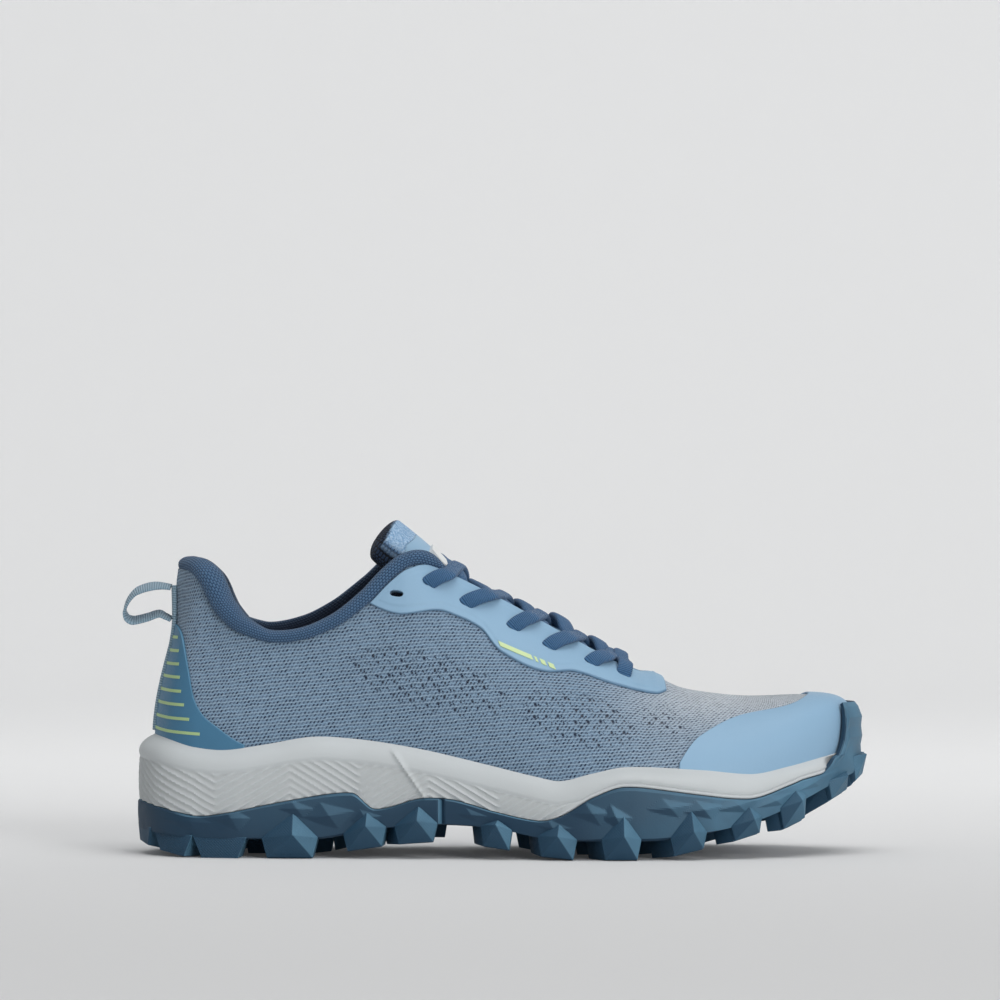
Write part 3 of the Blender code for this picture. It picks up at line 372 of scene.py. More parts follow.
# mesh in metres from points in drawing millimetres
def drawnMesh(name, points, faces):
    mesh = bpy.data.meshes.new(name)
    mesh.from_pydata(((points + standPoint) * mm).tolist(), [], faces)
    return mesh


def turnOutward(mesh):
    bm = bmesh.new()
    bm.from_mesh(mesh)
    bmesh.ops.recalc_face_normals(bm, faces=bm.faces)
    bm.to_mesh(mesh)
    bm.free()


# piece of the model from a part; points that coincide are merged
def newPiece(name, part, material, slotName, replaced=(), sharp=None):
    points = part["points"]
    _, first, index = np.unique(np.round(points, 3), axis=0, return_index=True, return_inverse=True)
    index = index.ravel()
    corners = []
    sources = []
    for face in part["faces"]:
        kept = {}
        for corner in face:
            kept.setdefault(index[corner], corner)
        if len(kept) > 2:
            corners.append(tuple(kept))
            sources.extend(kept.values())
    mesh = drawnMesh(name, points[first], corners)
    if "uv" in part:
        layer = mesh.uv_layers.new(name="weave")
        layer.data.foreach_set("uv", np.asarray(part["uv"], np.float32)[sources].ravel())
    for maskName, values in part["masks"].items():
        mask = mesh.attributes.new(maskName, "FLOAT", "POINT")
        mask.data.foreach_set("value", np.asarray(values, np.float32)[first])
    turnOutward(mesh)
    mesh.shade_smooth()
    if sharp:
        mesh.set_sharp_from_angle(angle=math.radians(sharp))
    mesh.materials.append(material)
    piece = newObject(name, mesh)
    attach(piece, "root")
    if replaced:
        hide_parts(*replaced)
    print("made", name, len(corners), "faces")
    return piece


# closed plate between two grids, with weave coordinates and masks of one grid
def platePart(inner, outer, uv=None, masks=None):
    rows, columns = inner.shape[:2]
    half = rows * columns
    faces = [gridFaces(rows, columns), gridFaces(rows, columns, half)]
    number = np.arange(half).reshape(rows, columns)
    for edge in (number[0], number[-1], number[:, 0], number[:, -1]):
        faces.append(np.stack((edge[:-1], edge[1:], edge[1:] + half, edge[:-1] + half), axis=-1))
    twice = {name: np.stack((mask, mask)) for name, mask in (masks or {}).items()}
    uvTwice = None if uv is None else np.stack((uv, uv))
    return partOf(np.stack((inner, outer)), np.concatenate(faces), uvTwice, twice)


# closed bar through outlines of shape (stations, corners, 3)
def tubePart(outlines, uv=None, masks=None):
    count, corners = outlines.shape[:2]
    faces = [tuple(face) for face in gridFaces(count, corners, around=True)]
    faces += [tuple(range(corners)), tuple(range((count - 1) * corners, count * corners))]
    return partOf(outlines, faces, uv, masks)


strapLook = {"corners": 14, "boxing": (0.6, 0.8)}


# sweep of a rounded flat section along a line, with u along it and v across it
def strapPart(line, across, width, thick):
    acrossBoxing, upBoxing = strapLook["boxing"]
    along = unit(np.gradient(line, axis=0))
    across = unit(across - np.sum(across * along, axis=1, keepdims=True) * along)
    face = unit(np.cross(along, across))
    cosine, sine = circle(strapLook["corners"])
    wide = boxed(cosine, acrossBoxing) * width / 2
    high = boxed(sine, upBoxing) * thick / 2
    outlines = line[:, None] + wide[None, :, None] * across[:, None] + high[None, :, None] * face[:, None]
    return tubePart(outlines, pointsOf(lengthsAlong(line)[:, None], wide))


# faces of rings round the shoe, closed straight across it at some rows
def stackFaces(rings, closedRows):
    rows, count = rings.shape[:2]
    faces = [tuple(face) for face in gridFaces(rows, count, around=True)]
    for row in closedRows:
        for i in range(count // 2):
            corners = (i, i + 1, (count - i - 1) % count, (count - i) % count)
            faces.append(tuple(row * count + corner for corner in corners))
    return faces


# rings round the whole shoe from those of its two sides
def roundShoe(sides):
    lateral, medial = sides
    return np.concatenate((lateral, medial[:, -2:0:-1]), axis=1)


# shader building blocks
def addNode(tree, kind, **values):
    node = tree.nodes.new(kind)
    for name, value in values.items():
        setattr(node, name, value)
    return node


def isSocket(value):
    return isinstance(value, bpy.types.NodeSocket)


def plug(value, socket):
    if isSocket(value):
        socket.id_data.links.new(value, socket)
    else:
        socket.default_value = value


# a sum of sockets and numbers, in the tree that the sockets are in
def calc(operation, *values):
    tree = next(value.id_data for value in values if isSocket(value))
    node = addNode(tree, "ShaderNodeMath", operation=operation)
    for value, socket in zip(values, node.inputs):
        plug(value, socket)
    return node.outputs[0]


def times(a, b):
    return calc("MULTIPLY", a, b)


def plus(a, b):
    return calc("ADD", a, b)


def minus(a, b):
    return calc("SUBTRACT", a, b)


def over(a, b):
    return calc("DIVIDE", a, b)


def ramp(value, start, end, low=0.0, high=1.0):
    node = addNode(value.id_data, "ShaderNodeMapRange", interpolation_type="SMOOTHSTEP")
    given = {"Value": value, "From Min": start, "From Max": end, "To Min": low, "To Max": high}
    for name, number in given.items():
        plug(number, node.inputs[name])
    return node.outputs["Result"]


# screen values from 0 to 255 as light
def rgba(red, green, blue):
    def linear(value):
        value = value / 255
        return value / 12.92 if value <= 0.04045 else ((value + 0.055) / 1.055) ** 2.4

    return (linear(red), linear(green), linear(blue), 1.0)


# each paint is a socket or screen values
def blendColour(share, first, second):
    node = addNode(share.id_data, "ShaderNodeMix", data_type="RGBA")
    plug(share, node.inputs["Factor"])
    for name, paint in (("A", first), ("B", second)):
        plug(paint if isSocket(paint) else rgba(*paint), node.inputs[name])
    return node.outputs["Result"]


# a paint that a value dims here and there
def mottled(value, paint, most, dim):
    return blendColour(ramp(value, 0.3, 0.7, 0.0, most), paint, [c * dim for c in paint])


def placeOf(tree):
    return addNode(tree, "ShaderNodeTexCoord").outputs["Object"]


def noise(tree, scale, detail):
    node = addNode(tree, "ShaderNodeTexNoise")
    for name, value in (("Scale", scale), ("Detail", detail), ("Vector", placeOf(tree))):
        plug(value, node.inputs[name])
    return node.outputs["Fac"]


def maskOf(tree, name):
    return addNode(tree, "ShaderNodeAttribute", attribute_name=name).outputs["Fac"]


def axesOf(vector):
    split = addNode(vector.id_data, "ShaderNodeSeparateXYZ")
    plug(vector, split.inputs[0])
    return split.outputs


def weavePlace(tree):
    axes = axesOf(addNode(tree, "ShaderNodeUVMap", uv_map="weave").outputs["UV"])
    return axes["X"], axes["Y"]


# place in its cell, from -0.5 to 0.5
def inCell(value):
    return minus(calc("FRACT", value), 0.5)


def fromMiddle(value):
    return calc("ABSOLUTE", inCell(value))


def newGroup(name, **inputs):
    tree = bpy.data.node_groups.new(name, "ShaderNodeTree")
    for socketName, value in inputs.items():
        socket = tree.interface.new_socket(name=socketName, in_out="INPUT", socket_type="NodeSocketFloat")
        socket.default_value = value
    return tree, addNode(tree, "NodeGroupInput").outputs


def closeGroup(tree, **values):
    for name in values:
        tree.interface.new_socket(name=name, in_out="OUTPUT", socket_type="NodeSocketFloat")
    result = addNode(tree, "NodeGroupOutput").inputs
    for name, value in values.items():
        plug(value, result[name])
    return tree


def useGroup(tree, group, **values):
    node = addNode(tree, "ShaderNodeGroup", node_tree=group)
    for name, value in values.items():
        plug(value, node.inputs[name])
    return node.outputs


rowShift = 0.46  # of a cell, from one row of stitches or holes to the next


# slanted knit stitches: Height of the yarn, Gap between the stitches, pale Line of every second course
def knitGroup():
    tree, given = newGroup("knitStitch", Wale=1.5, Course=1.28, Slant=0.4)
    u, v = weavePlace(tree)
    wobble = times(minus(noise(tree, 260.0, 3.0), 0.5), 0.8)
    course = plus(over(v, given["Course"]), wobble)
    row = calc("FLOOR", course)
    lean = times(inCell(course), given["Slant"])
    across = plus(over(u, given["Wale"]), times(row, rowShift))
    wale = minus(plus(across, wobble), lean)
    cell = addNode(tree, "ShaderNodeCombineXYZ")
    plug(calc("FLOOR", wale), cell.inputs["X"])
    plug(row, cell.inputs["Y"])
    chance = addNode(tree, "ShaderNodeTexWhiteNoise", noise_dimensions="2D")
    plug(cell.outputs[0], chance.inputs["Vector"])
    depth = calc("MULTIPLY_ADD", chance.outputs["Value"], 0.5, 0.55)
    side = fromMiddle(wale)
    inCourse = fromMiddle(course)
    stroke = times(ramp(side, 0.14, 0.37, 1.0, 0.0), ramp(inCourse, 0.18, 0.47, 1.0, 0.0))
    strand = times(ramp(side, 0.36, 0.48), ramp(inCourse, 0.1, 0.36, 0.4, 0.0))
    gap = calc("MAXIMUM", times(stroke, depth), strand)
    everySecond = fromMiddle(times(course, 0.5))
    line = times(ramp(everySecond, 0.36, 0.48), ramp(side, 0.1, 0.4, 0.25, 0.9))
    height = minus(calc("MULTIPLY_ADD", line, 0.4, 0.6), gap)
    return closeGroup(tree, Height=height, Gap=gap, Line=line)


# pairs of open holes in a slanting lattice
def holeGroup():
    tree, given = newGroup("openHoles", Across=4.4, Up=2.56, Size=0.56)
    u, v = weavePlace(tree)
    row = over(v, given["Up"])
    column = plus(over(u, given["Across"]), times(calc("FLOOR", row), rowShift))
    acrossCell = times(inCell(column), given["Across"])
    upCell = times(inCell(row), given["Up"])
    uneven = ramp(noise(tree, 330.0, 1.0), 0.3, 0.7, 0.35, 1.25)
    holes = []
    for along, share in ((-0.6, 1.0), (0.75, 0.6)):
        dx = minus(acrossCell, along)
        dy = times(plus(upCell, along * 0.25), 0.8)
        distance = calc("SQRT", plus(times(dx, dx), times(dy, dy)))
        size = times(times(given["Size"], share), uneven)
        holes.append(ramp(distance, times(size, 0.45), times(size, 1.3), 1.0, 0.0))
    return closeGroup(tree, Hole=calc("MAXIMUM", *holes))


# woven threads, over and under: their Height and the Gap between them
def weaveGroup():
    tree, given = newGroup("wovenThreads", Pitch=1.0, Rise=1.0)
    u, v = weavePlace(tree)
    a = over(u, given["Pitch"])
    b = over(v, times(given["Pitch"], given["Rise"]))
    turned = times(calc("FLOOR", b), 0.5)
    onTop = fromMiddle(plus(a, turned))
    height = times(ramp(onTop, 0.5, 0.12), ramp(fromMiddle(b), 0.5, 0.15))
    return closeGroup(tree, Height=height, Gap=ramp(height, 0.45, 0.05))


# ribs across a lace or webbing, with threads along them
def ribGroup():
    tree, given = newGroup("crossRibs", Pitch=0.8, Thread=0.5)
    u, v = weavePlace(tree)
    ribs = ramp(fromMiddle(over(u, given["Pitch"])), 0.5, 0.1)
    threads = ramp(fromMiddle(over(v, given["Thread"])), 0.5, 0.0, 0.75, 1.0)
    return closeGroup(tree, Height=times(ribs, threads))


# slight grain and tone that every moulded or woven surface has
def grainGroup():
    tree, given = newGroup("surfaceGrain", Fine=900.0, Broad=25.0)
    return closeGroup(tree, Grain=noise(tree, given["Fine"], 3.0), Tone=noise(tree, given["Broad"], 3.0))


knitStitch = knitGroup()
openHoles = holeGroup()
wovenThreads = weaveGroup()
crossRibs = ribGroup()
surfaceGrain = grainGroup()


def newMaterial(name, paint, roughness, specular, sheen=0.0):
    material = bpy.data.materials.new(name)
    material.use_nodes = True
    tree = material.node_tree
    shader = tree.nodes["Principled BSDF"]
    plug(rgba(*paint), shader.inputs["Base Color"])
    plug(roughness, shader.inputs["Roughness"])
    plug(sheen, shader.inputs["Sheen Weight"])
    plug(specular, shader.inputs["Specular IOR Level"])
    return material, tree, shader


# colour and relief of a material, and its roughness where that varies; depth in mm
def dress(shader, shown, relief, depth, roughness=None):
    plug(shown, shader.inputs["Base Color"])
    if roughness:
        plug(roughness, shader.inputs["Roughness"])
    bump = addNode(shader.id_data, "ShaderNodeBump")
    plug(1.0, bump.inputs["Strength"])
    plug(depth * mm, bump.inputs["Distance"])
    plug(relief, bump.inputs["Height"])
    plug(bump.outputs["Normal"], shader.inputs["Normal"])


knitLook = {
    "yarn": (144, 171, 195), "pale": (230, 236, 241), "flecks": (84, 112, 142), "line": (190, 206, 220),
    "gap": (32, 54, 82), "hole": (32, 46, 68), "lining": (28, 42, 64), "depth": 0.4,
}


def knitMaterial():
    look = knitLook
    material, tree, shader = newMaterial("knit", look["yarn"], 0.85, 0.25, sheen=0.25)
    stitch = useGroup(tree, knitStitch)
    grain = useGroup(tree, surfaceGrain, Fine=2600.0, Broad=45.0)
    hole = times(useGroup(tree, openHoles)["Hole"], maskOf(tree, "openKnit"))
    # the pale mask is partly paler yarn and partly painted light on the vamp's top
    pale = maskOf(tree, "paleYarn")
    shown = blendColour(pale, look["yarn"], look["pale"])
    onLine = times(stitch["Line"], calc("MULTIPLY_ADD", pale, -0.22, 0.3))
    inGap = times(stitch["Gap"], calc("MULTIPLY_ADD", pale, -0.3, 0.95))
    layers = {
        "flecks": ramp(grain["Grain"], 0.35, 0.65, 0.0, 0.35), "line": onLine, "gap": inGap,
        "hole": hole, "lining": maskOf(tree, "inside"),
    }
    for name, share in layers.items():
        shown = blendColour(share, shown, look[name])
    relief = minus(calc("MULTIPLY_ADD", grain["Grain"], 0.25, stitch["Height"]), hole)
    dress(shader, shown, relief, look["depth"])
    return material


# smooth moulded film, with the faint orange-peel of a hot-pressed sheet, and painted shading along its free
# edges
def filmMaterial(name, paint, edgePaint):
    roughness = 0.5
    material, tree, shader = newMaterial(name, paint, roughness, 0.35)
    grain = useGroup(tree, surfaceGrain, Fine=1400.0, Broad=30.0)
    tone = mottled(grain["Tone"], paint, 0.18, 0.93)
    shown = blendColour(times(maskOf(tree, "edge"), 0.7), tone, edgePaint)
    rough = ramp(grain["Grain"], 0.3, 0.7, roughness - 0.06, roughness + 0.08)
    dress(shader, shown, grain["Grain"], 0.035, rough)
    return material


def clothMaterial(name, paint, dark, pitch, rise, inside=None):
    material, tree, shader = newMaterial(name, paint, 0.9, 0.2, sheen=0.15)
    threads = useGroup(tree, wovenThreads, Pitch=pitch, Rise=rise)
    grain = useGroup(tree, surfaceGrain, Fine=2400.0, Broad=60.0)
    shown = blendColour(threads["Gap"], mottled(grain["Grain"], paint, 0.4, 0.8), dark)
    if inside:
        shown = blendColour(maskOf(tree, "inside"), shown, inside)
    dress(shader, shown, calc("MULTIPLY_ADD", grain["Grain"], 0.3, threads["Height"]), 0.3)
    return material


def ribbedMaterial(name, paint, dark, pitch, thread, depth):
    material, tree, shader = newMaterial(name, paint, 0.82, 0.25, sheen=0.2)
    height = useGroup(tree, crossRibs, Pitch=pitch, Thread=thread)["Height"]
    grain = useGroup(tree, surfaceGrain, Fine=2600.0, Broad=80.0)
    tone = mottled(grain["Tone"], paint, 0.25, 0.85)
    shown = blendColour(ramp(height, 0.55, 0.05), tone, dark)
    dress(shader, shown, calc("MULTIPLY_ADD", grain["Grain"], 0.2, height), depth)
    return material


foamLook = {"paint": (198, 203, 205), "shade": (184, 188, 188), "groove": (164, 165, 162), "depth": 0.05}


def foamMaterial():
    look = foamLook
    material, tree, shader = newMaterial("foam", look["paint"], 0.62, 0.3)
    grain = useGroup(tree, surfaceGrain, Fine=1700.0, Broad=22.0)
    tone = blendColour(ramp(grain["Tone"], 0.3, 0.75, 0.0, 0.3), look["paint"], look["shade"])
    # painted shade: the grooves between the relief's ridges are painted darker
    shown = blendColour(times(maskOf(tree, "groove"), 0.2), tone, look["groove"])
    rough = ramp(grain["Grain"], 0.3, 0.7, 0.52, 0.72)
    dress(shader, shown, grain["Grain"], look["depth"], rough)
    return material


rubberLook = {
    # the second colour is painted light, laid on faces turned towards the lamp along the given direction
    "paint": (36, 74, 98), "dust": (86, 128, 153), "dustFrom": (0.78, -0.2, 0.45), "depth": 0.14,
    "hatch": 1.1,
}


# rubber with painted light: faces turned up and towards the lamp at the toe are painted lighter, unevenly
# in patches, and a fine hatch on the lugs
def rubberMaterial(name, dark, hatched):
    look = rubberLook
    material, tree, shader = newMaterial(name, look["paint"], 0.55, 0.4)
    grain = useGroup(tree, surfaceGrain, Fine=1500.0, Broad=55.0)
    turned = addNode(tree, "ShaderNodeVectorMath", operation="DOT_PRODUCT")
    plug(addNode(tree, "ShaderNodeNewGeometry").outputs["True Normal"], turned.inputs[0])
    plug(look["dustFrom"], turned.inputs[1])
    patchy = ramp(grain["Tone"], 0.3, 0.7, 0.6, 1.0)
    # painted light: lighter paint where a face turns towards the lamp, uneven in patches
    dust = times(ramp(turned.outputs["Value"], 0.03, 0.65), patchy)
    height = times(grain["Grain"], 0.35)
    if hatched:
        place = axesOf(placeOf(tree))
        lines = []
        for sign in (plus, minus):
            slanted = over(sign(place["X"], place["Z"]), look["hatch"] * mm)
            lines.append(ramp(fromMiddle(slanted), 0.5, 0.2))
        height = calc("MULTIPLY_ADD", times(*lines), 0.8, height)
    rough = ramp(grain["Tone"], 0.3, 0.7, 0.5, 0.72)
    dress(shader, blendColour(dust, dark, look["dust"]), height, look["depth"], rough)
    return material


def printMaterial(name, paint):
    material, tree, shader = newMaterial(name, paint, 0.5, 0.3)
    grain = useGroup(tree, surfaceGrain, Fine=1800.0, Broad=90.0)
    dress(shader, mottled(grain["Tone"], paint, 0.3, 0.9), grain["Grain"], 0.02)
    return material


# pairs of paints: deep and raised cloth, plain and dim film, thread and gap of mesh band and lining
tonguePaint = {
    "base": (150, 184, 212), "cloth": ((128, 164, 200), (172, 200, 226)),
    "film": ((150, 183, 208), (138, 170, 196)),
    "mesh": ((78, 108, 142), (34, 52, 78)), "lining": ((34, 50, 72), (10, 16, 26)),
    "depth": 0.6,
}


# tongue front: brushed cloth at the top, film panel below it, dark lining behind
def tongueMaterial():
    look = tonguePaint
    material, tree, shader = newMaterial("tongueCloth", look["base"], 0.85, 0.2, sheen=0.05)
    panel, band, inside = (maskOf(tree, name) for name in ("panel", "band", "inside"))
    threads = useGroup(tree, wovenThreads, Pitch=1.3, Rise=0.8)
    fluff = noise(tree, 1150.0, 3.0)
    cloth = blendColour(ramp(fluff, 0.35, 0.65), *look["cloth"])
    film = blendColour(ramp(noise(tree, 60.0, 2.0), 0.3, 0.7, 0.0, 0.2), *look["film"])
    front = blendColour(panel, cloth, film)
    banded = blendColour(band, front, blendColour(threads["Gap"], *look["mesh"]))
    shown = blendColour(inside, banded, blendColour(threads["Gap"], *look["lining"]))
    nap = times(fluff, minus(1.0, panel))
    woven = times(threads["Height"], plus(inside, band))
    relief = calc("MULTIPLY_ADD", nap, 1.6, times(woven, 0.4))
    dress(shader, shown, relief, look["depth"], ramp(panel, 0.0, 1.0, 0.9, 0.5))
    return material


knit = knitMaterial()
# painted shade: the film's edges are painted darker; painted highlight: the counter's edges are painted
# lighter
film = filmMaterial("film", (142, 177, 204), (104, 138, 168))
counterFilm = filmMaterial("counterFilm", (70, 120, 152), (96, 142, 170))
collarCloth = clothMaterial("collarCloth", (84, 118, 152), (46, 70, 100), 1.1, 0.85, inside=(20, 31, 50))
liningCloth = clothMaterial("liningCloth", (30, 44, 66), (12, 18, 30), 1.6, 0.8)
webbing = ribbedMaterial("webbing", (150, 176, 192), (112, 140, 158), 0.9, 1.0, 0.3)
laceCloth = ribbedMaterial("laceCloth", (68, 111, 152), (40, 74, 112), 0.62, 1.1, 0.25)
foam = foamMaterial()
rubber = rubberMaterial("rubber", (24, 56, 79), False)
lugRubber = rubberMaterial("lugRubber", (32, 69, 94), True)
limePrint = printMaterial("limePrint", (208, 228, 172))
# the heel's stripes: the lime print painted darker, as painted shade on the heel side
heelPrint = printMaterial("heelPrint", (174, 202, 146))
labelPrint = printMaterial("labelPrint", (232, 233, 232))
tongueCloth = tongueMaterial()
print("materials ready")

wallThickness = 2.0
filmGap = 0.45
seatGap = 0.3

upperLook = {
    "stations": 340, "rows": 62, "liningRows": 12, "rowSlope": 0.10,
    # pale yarn towards the toe, and painted light: paler still towards the top of the vamp
    "pale": (165.0, 222.0), "paleUp": (42.0, 62.0),
    # soft forms of the knit: side, x, height, half length, half height, depth
    "forms": (
        ("both", 208.0, 52.0, 5.0, 14.0, -0.45), ("both", 221.0, 53.0, 6.0, 10.0, 0.30),
        ("lateral", 150.0, 58.0, 14.0, 10.0, 0.35), ("lateral", 72.0, 66.0, 18.0, 12.0, -0.50),
        ("both", 30.0, 84.0, 9.0, 10.0, -0.40),
    ),
    # zones of open knit: x, height, half length, half height, tilt down towards the toe
    "openZones": (
        (111.5, 65.7, 31.0, 10.5, 0.26), (167.0, 52.0, 22.0, 9.5, 0.26), (198.4, 51.2, 9.0, 5.5, 0.2),
    ),
}


def formDepth(side, points):
    depth = np.zeros(points.shape[:2])
    for where, x, z, halfX, halfZ, height in upperLook["forms"]:
        if where in ("both", side):
            depth += height * bell(points[..., 0], x, halfX) * bell(points[..., 2], z, halfZ)
    return depth


def openShare(points):
    share = np.zeros(points.shape[:2])
    for x, z, halfX, halfZ, tilt in upperLook["openZones"]:
        dx, dz = points[..., 0] - x, points[..., 2] - z
        along = dx * math.cos(tilt) - dz * math.sin(tilt)
        acrossIt = dx * math.sin(tilt) + dz * math.cos(tilt)
        share = np.maximum(share, ease(np.hypot(along / halfX, acrossIt / halfZ), 1.08, 0.9))
    return share


def makeUpper():
    look = upperLook
    s = np.linspace(0, toeEnd, look["stations"])
    innerRows = np.linspace(1, 0, look["liningRows"])[:, None]
    blank = np.zeros((len(innerRows), len(s)))
    parts = []
    for side in otherSide:
        t = np.linspace(0, 1, look["rows"])[:, None] + 0.0 * s
        outer = skinPoint(side, s, t, formDepth(side, ribPoint(side, s, t)))
        points = np.concatenate((outer, skinPoint(side, s, innerRows, -wallThickness), outer[:1]))
        rise = ribLengths(side, s, t) + soleAt["feather"](xAt(side, s)) - look["rowSlope"] * s
        v = np.concatenate((rise, np.repeat(rise[-1:], len(innerRows), axis=0), rise[:1]))
        # paler yarn towards the toe, and painted light: paler towards the top
        pale = ease(outer[..., 0], *look["pale"]) * mix(0.25, 1.0, ease(outer[..., 2], *look["paleUp"]))
        # each mask on the outside, and its value on the lining
        shares = {"inside": (0.0 * t, 1.0), "openKnit": (openShare(outer), 0.0), "paleYarn": (pale, 0.0)}
        masks = {name: np.concatenate((m, blank + lining, m[:1])) for name, (m, lining) in shares.items()}
        uv = pointsOf(weaveAlong(side, s), v)
        parts.append(partOf(points, gridFaces(len(points), len(s)), uv, masks))
    return newPiece("knitUpper", together(parts), knit, "knit", ("upper",))


# slots for the lace, from the top down to the toe: x, height on the outer side
eyelets = ((110.9, 102.3), (125.3, 94.5), (143.2, 85.4), (156.5, 78.1), (171.6, 71.9), (183.5, 67.4))
freeEyelet = (99.1, 98.4)  # has no lace
slotLook = {"long": 5.2, "high": 2.5, "boxing": 0.7, "freeTurn": 0.85, "depth": 7.0, "corners": 16}


def eyeletAt(side, place):
    s = stationAt(place[0])
    return s, float(atHeight(side, s, place[1]))


def slotCutter():
    look = slotLook
    cosine, sine = circle(look["corners"])
    wide = boxed(cosine, look["boxing"]) * look["long"] / 2
    high = sine * look["high"] / 2
    parts = []
    for side in otherSide:
        for place in (freeEyelet, *eyelets):
            s, t = eyeletAt(side, place)
            normal = ribNormal(side, s, t)
            along = unit(ribPoint(side, s + 1.0, t) - ribPoint(side, s - 1.0, t))
            rising = np.cross(normal, along)
            turn = look["freeTurn"] * sideSign[side] if place == freeEyelet else 0.0
            level = math.cos(turn) * along + math.sin(turn) * rising
            upright = math.cos(turn) * rising - math.sin(turn) * along
            ring = skinPoint(side, s, t, 0.0) + wide[:, None] * level + high[:, None] * upright
            parts.append(tubePart(np.stack([ring + sign * look["depth"] * normal for sign in (-1, 1)])))
    whole = together(parts)
    mesh = drawnMesh("slots", whole["points"], whole["faces"])
    turnOutward(mesh)
    return newObject("slots", mesh)


def cutSlots(piece, cutter):
    cut = piece.modifiers.new("slots", "BOOLEAN")
    cut.operation = "DIFFERENCE"
    cut.solver = "EXACT"
    cut.object = cutter
    graph = bpy.context.evaluated_depsgraph_get()
    holed = bpy.data.meshes.new_from_object(piece.evaluated_get(graph))
    piece.modifiers.clear()
    piece.data = holed


# the last span sets how far in from the free edges the painted edge shading reaches
filmEdge = {"least": 0.02, "sunk": 0.4, "step": (2.6, 3.3), "tint": (0.2, 0.55)}


# film overlay between two places up each rib, with rounded free edges and a step behind them
def makeFilm(name, replaced, look):
    farAway = 99.0
    start, end = look["start"], look["end"]
    s = mix(start, end, crowdedEnds(look["columns"]))
    parts = []
    for side in otherSide:
        low, high = look["span"](side, s)
        t = mix(low, high, crowdedEnds(look["rows"])[:, None])
        lengths = ribLengths(side, s, t)
        onRidge = look["joinsRidge"] & (s >= throatEnd)
        edges = [lengths[-1:] - lengths + np.where(onRidge, farAway, 0.0)]
        if look["lowEdge"]:
            edges.append(lengths - lengths[:1])
        if "start" in look["openEnds"]:
            edges.append(s - start)
        if "end" in look["openEnds"]:
            edges.append(end - s)
        distance = np.min(np.broadcast_arrays(*edges), axis=0)
        rounded = np.maximum(roundedEdge(distance, look["thick"]), filmEdge["least"])
        offset = filmGap + look["thick"] * rounded + look["step"] * ease(distance, *filmEdge["step"])
        inner = skinPoint(side, s, t, filmGap - filmEdge["sunk"])
        outer = skinPoint(side, s, t, offset)
        uv = pointsOf(weaveAlong(side, s), lengths)
        # the edge mask carries painted shading along the film's free edges
        parts.append(platePart(inner, outer, uv, {"edge": 1 - ease(distance, *filmEdge["tint"])}))
    return newPiece(name, together(parts), look["material"], look["slot"], replaced)


# place up each rib where it comes over a border
def overBorder(side, s, border, low=0.0):
    read = curve(border)
    return crossing(side, s, lambda p: p[..., 2] - read(p[..., 0]), low)


# from just under the foam's rim up to the border
def belowBorder(border):
    underRim = -0.2

    def span(side, s):
        low = atHeight(side, s, soleAt["rim"](xAt(side, s)) + underRim)
        return low, overBorder(side, s, border, low)

    return span


plainFilm = {"thick": 0.5, "step": 0.0, "lowEdge": False, "joinsRidge": False}
toeCapLook = {
    **plainFilm, "material": film, "slot": "film", "columns": 150, "rows": 46,
    "start": stationAt(203.6), "end": toeEnd, "openEnds": ("start",),
    "span": belowBorder(((203.0, 33.5), (212.0, 45.0), (227.0, 52.2), (247.5, 56.4), (255.0, 60.0))),
}
counterLook = {
    **plainFilm, "material": counterFilm, "slot": "counter_film", "columns": 90, "rows": 60,
    "start": 0.0, "end": stationAt(42.0), "openEnds": ("end",),
    "span": belowBorder(
        ((12.9, 84.6), (18.0, 83.0), (20.4, 71.6), (23.2, 58.3), (29.0, 50.7), (43.5, 41.9))
    ),
}
eyestayLook = {
    "material": film, "slot": "film", "columns": 230, "rows": 40, "thick": 0.7, "step": 0.2,
    "lowEdge": True, "joinsRidge": True, "start": stationAt(88.5), "end": stationAt(199.0),
    "openEnds": ("start", "end"), "underCollar": 0.97, "underCollarTo": (104.0, 113.0),
    "border": (
        (88.0, 95.2), (100.0, 91.0), (115.0, 92.2), (121.0, 90.2), (130.0, 85.6), (137.5, 77.0),
        (155.5, 69.2), (165.6, 69.2), (180.5, 64.3), (196.0, 60.6), (201.0, 61.8),
    ),
}


def eyestaySpan(side, s):
    high = mix(eyestayLook["underCollar"], 1.0, ease(xAt(side, s), *eyestayLook["underCollarTo"]))
    return overBorder(side, s, eyestayLook["border"]), high


eyestayLook["span"] = eyestaySpan

upper = makeUpper()
makeFilm("toeCap", ("toe_cap",), toeCapLook)
makeFilm("heelCounter", ("heel_counter",), counterLook)
eyestay = makeFilm("eyestay", ("eyestay",), eyestayLook)
slots = slotCutter()
for sheet in (upper, eyestay):
    cutSlots(sheet, slots)
bpy.data.objects.remove(slots, do_unlink=True)
print("eyelet slots cut")

# roll: out and up from the top edge; size and inward shift over x; lining: depth and padding
collarLook = {
    "roll": ((0.5, -1.0), (1.9, 0.4), (1.9, 2.6), (0.2, 4.2), (-2.6, 4.6), (-5.0, 2.6)),
    "size": (
        (15.0, 0.95), (20.0, 1.1), (27.0, 1.45), (38.0, 1.25), (50.0, 0.85), (66.0, 0.85),
        (88.0, 1.0), (108.0, 1.0), (117.0, 0.35),
    ),
    "shift": ((15.0, 2.2), (21.0, 1.8), (27.0, 0.6), (33.0, 0.0)),
    "lining": ((8.0, 3.8), (24.0, 1.4)), "liningTo": (96.0, 110.0), "liningLeft": 0.2, "end": 117.0,
    "stations": 150, "corners": 44, "darkFrom": (3.6, 5.4), "fill": 0.7,
}


# closed smooth outline through a few points, for every station at once
def closedOutline(outline, corners):
    count = outline.shape[1]
    padded = np.concatenate((outline[:, -3:], outline, outline[:, :3]), axis=1)
    places = np.linspace(0, count, corners, endpoint=False)
    whole = np.floor(places).astype(int)
    u = (places - whole)[None, :, None]
    before, start, end, after = (padded[:, whole + k] for k in (2, 3, 4, 5))
    bend = 2 * before - 5 * start + 4 * end - after
    return start + 0.5 * u * (end - before + u * (bend + u * (3 * (start - end) + after - before)))


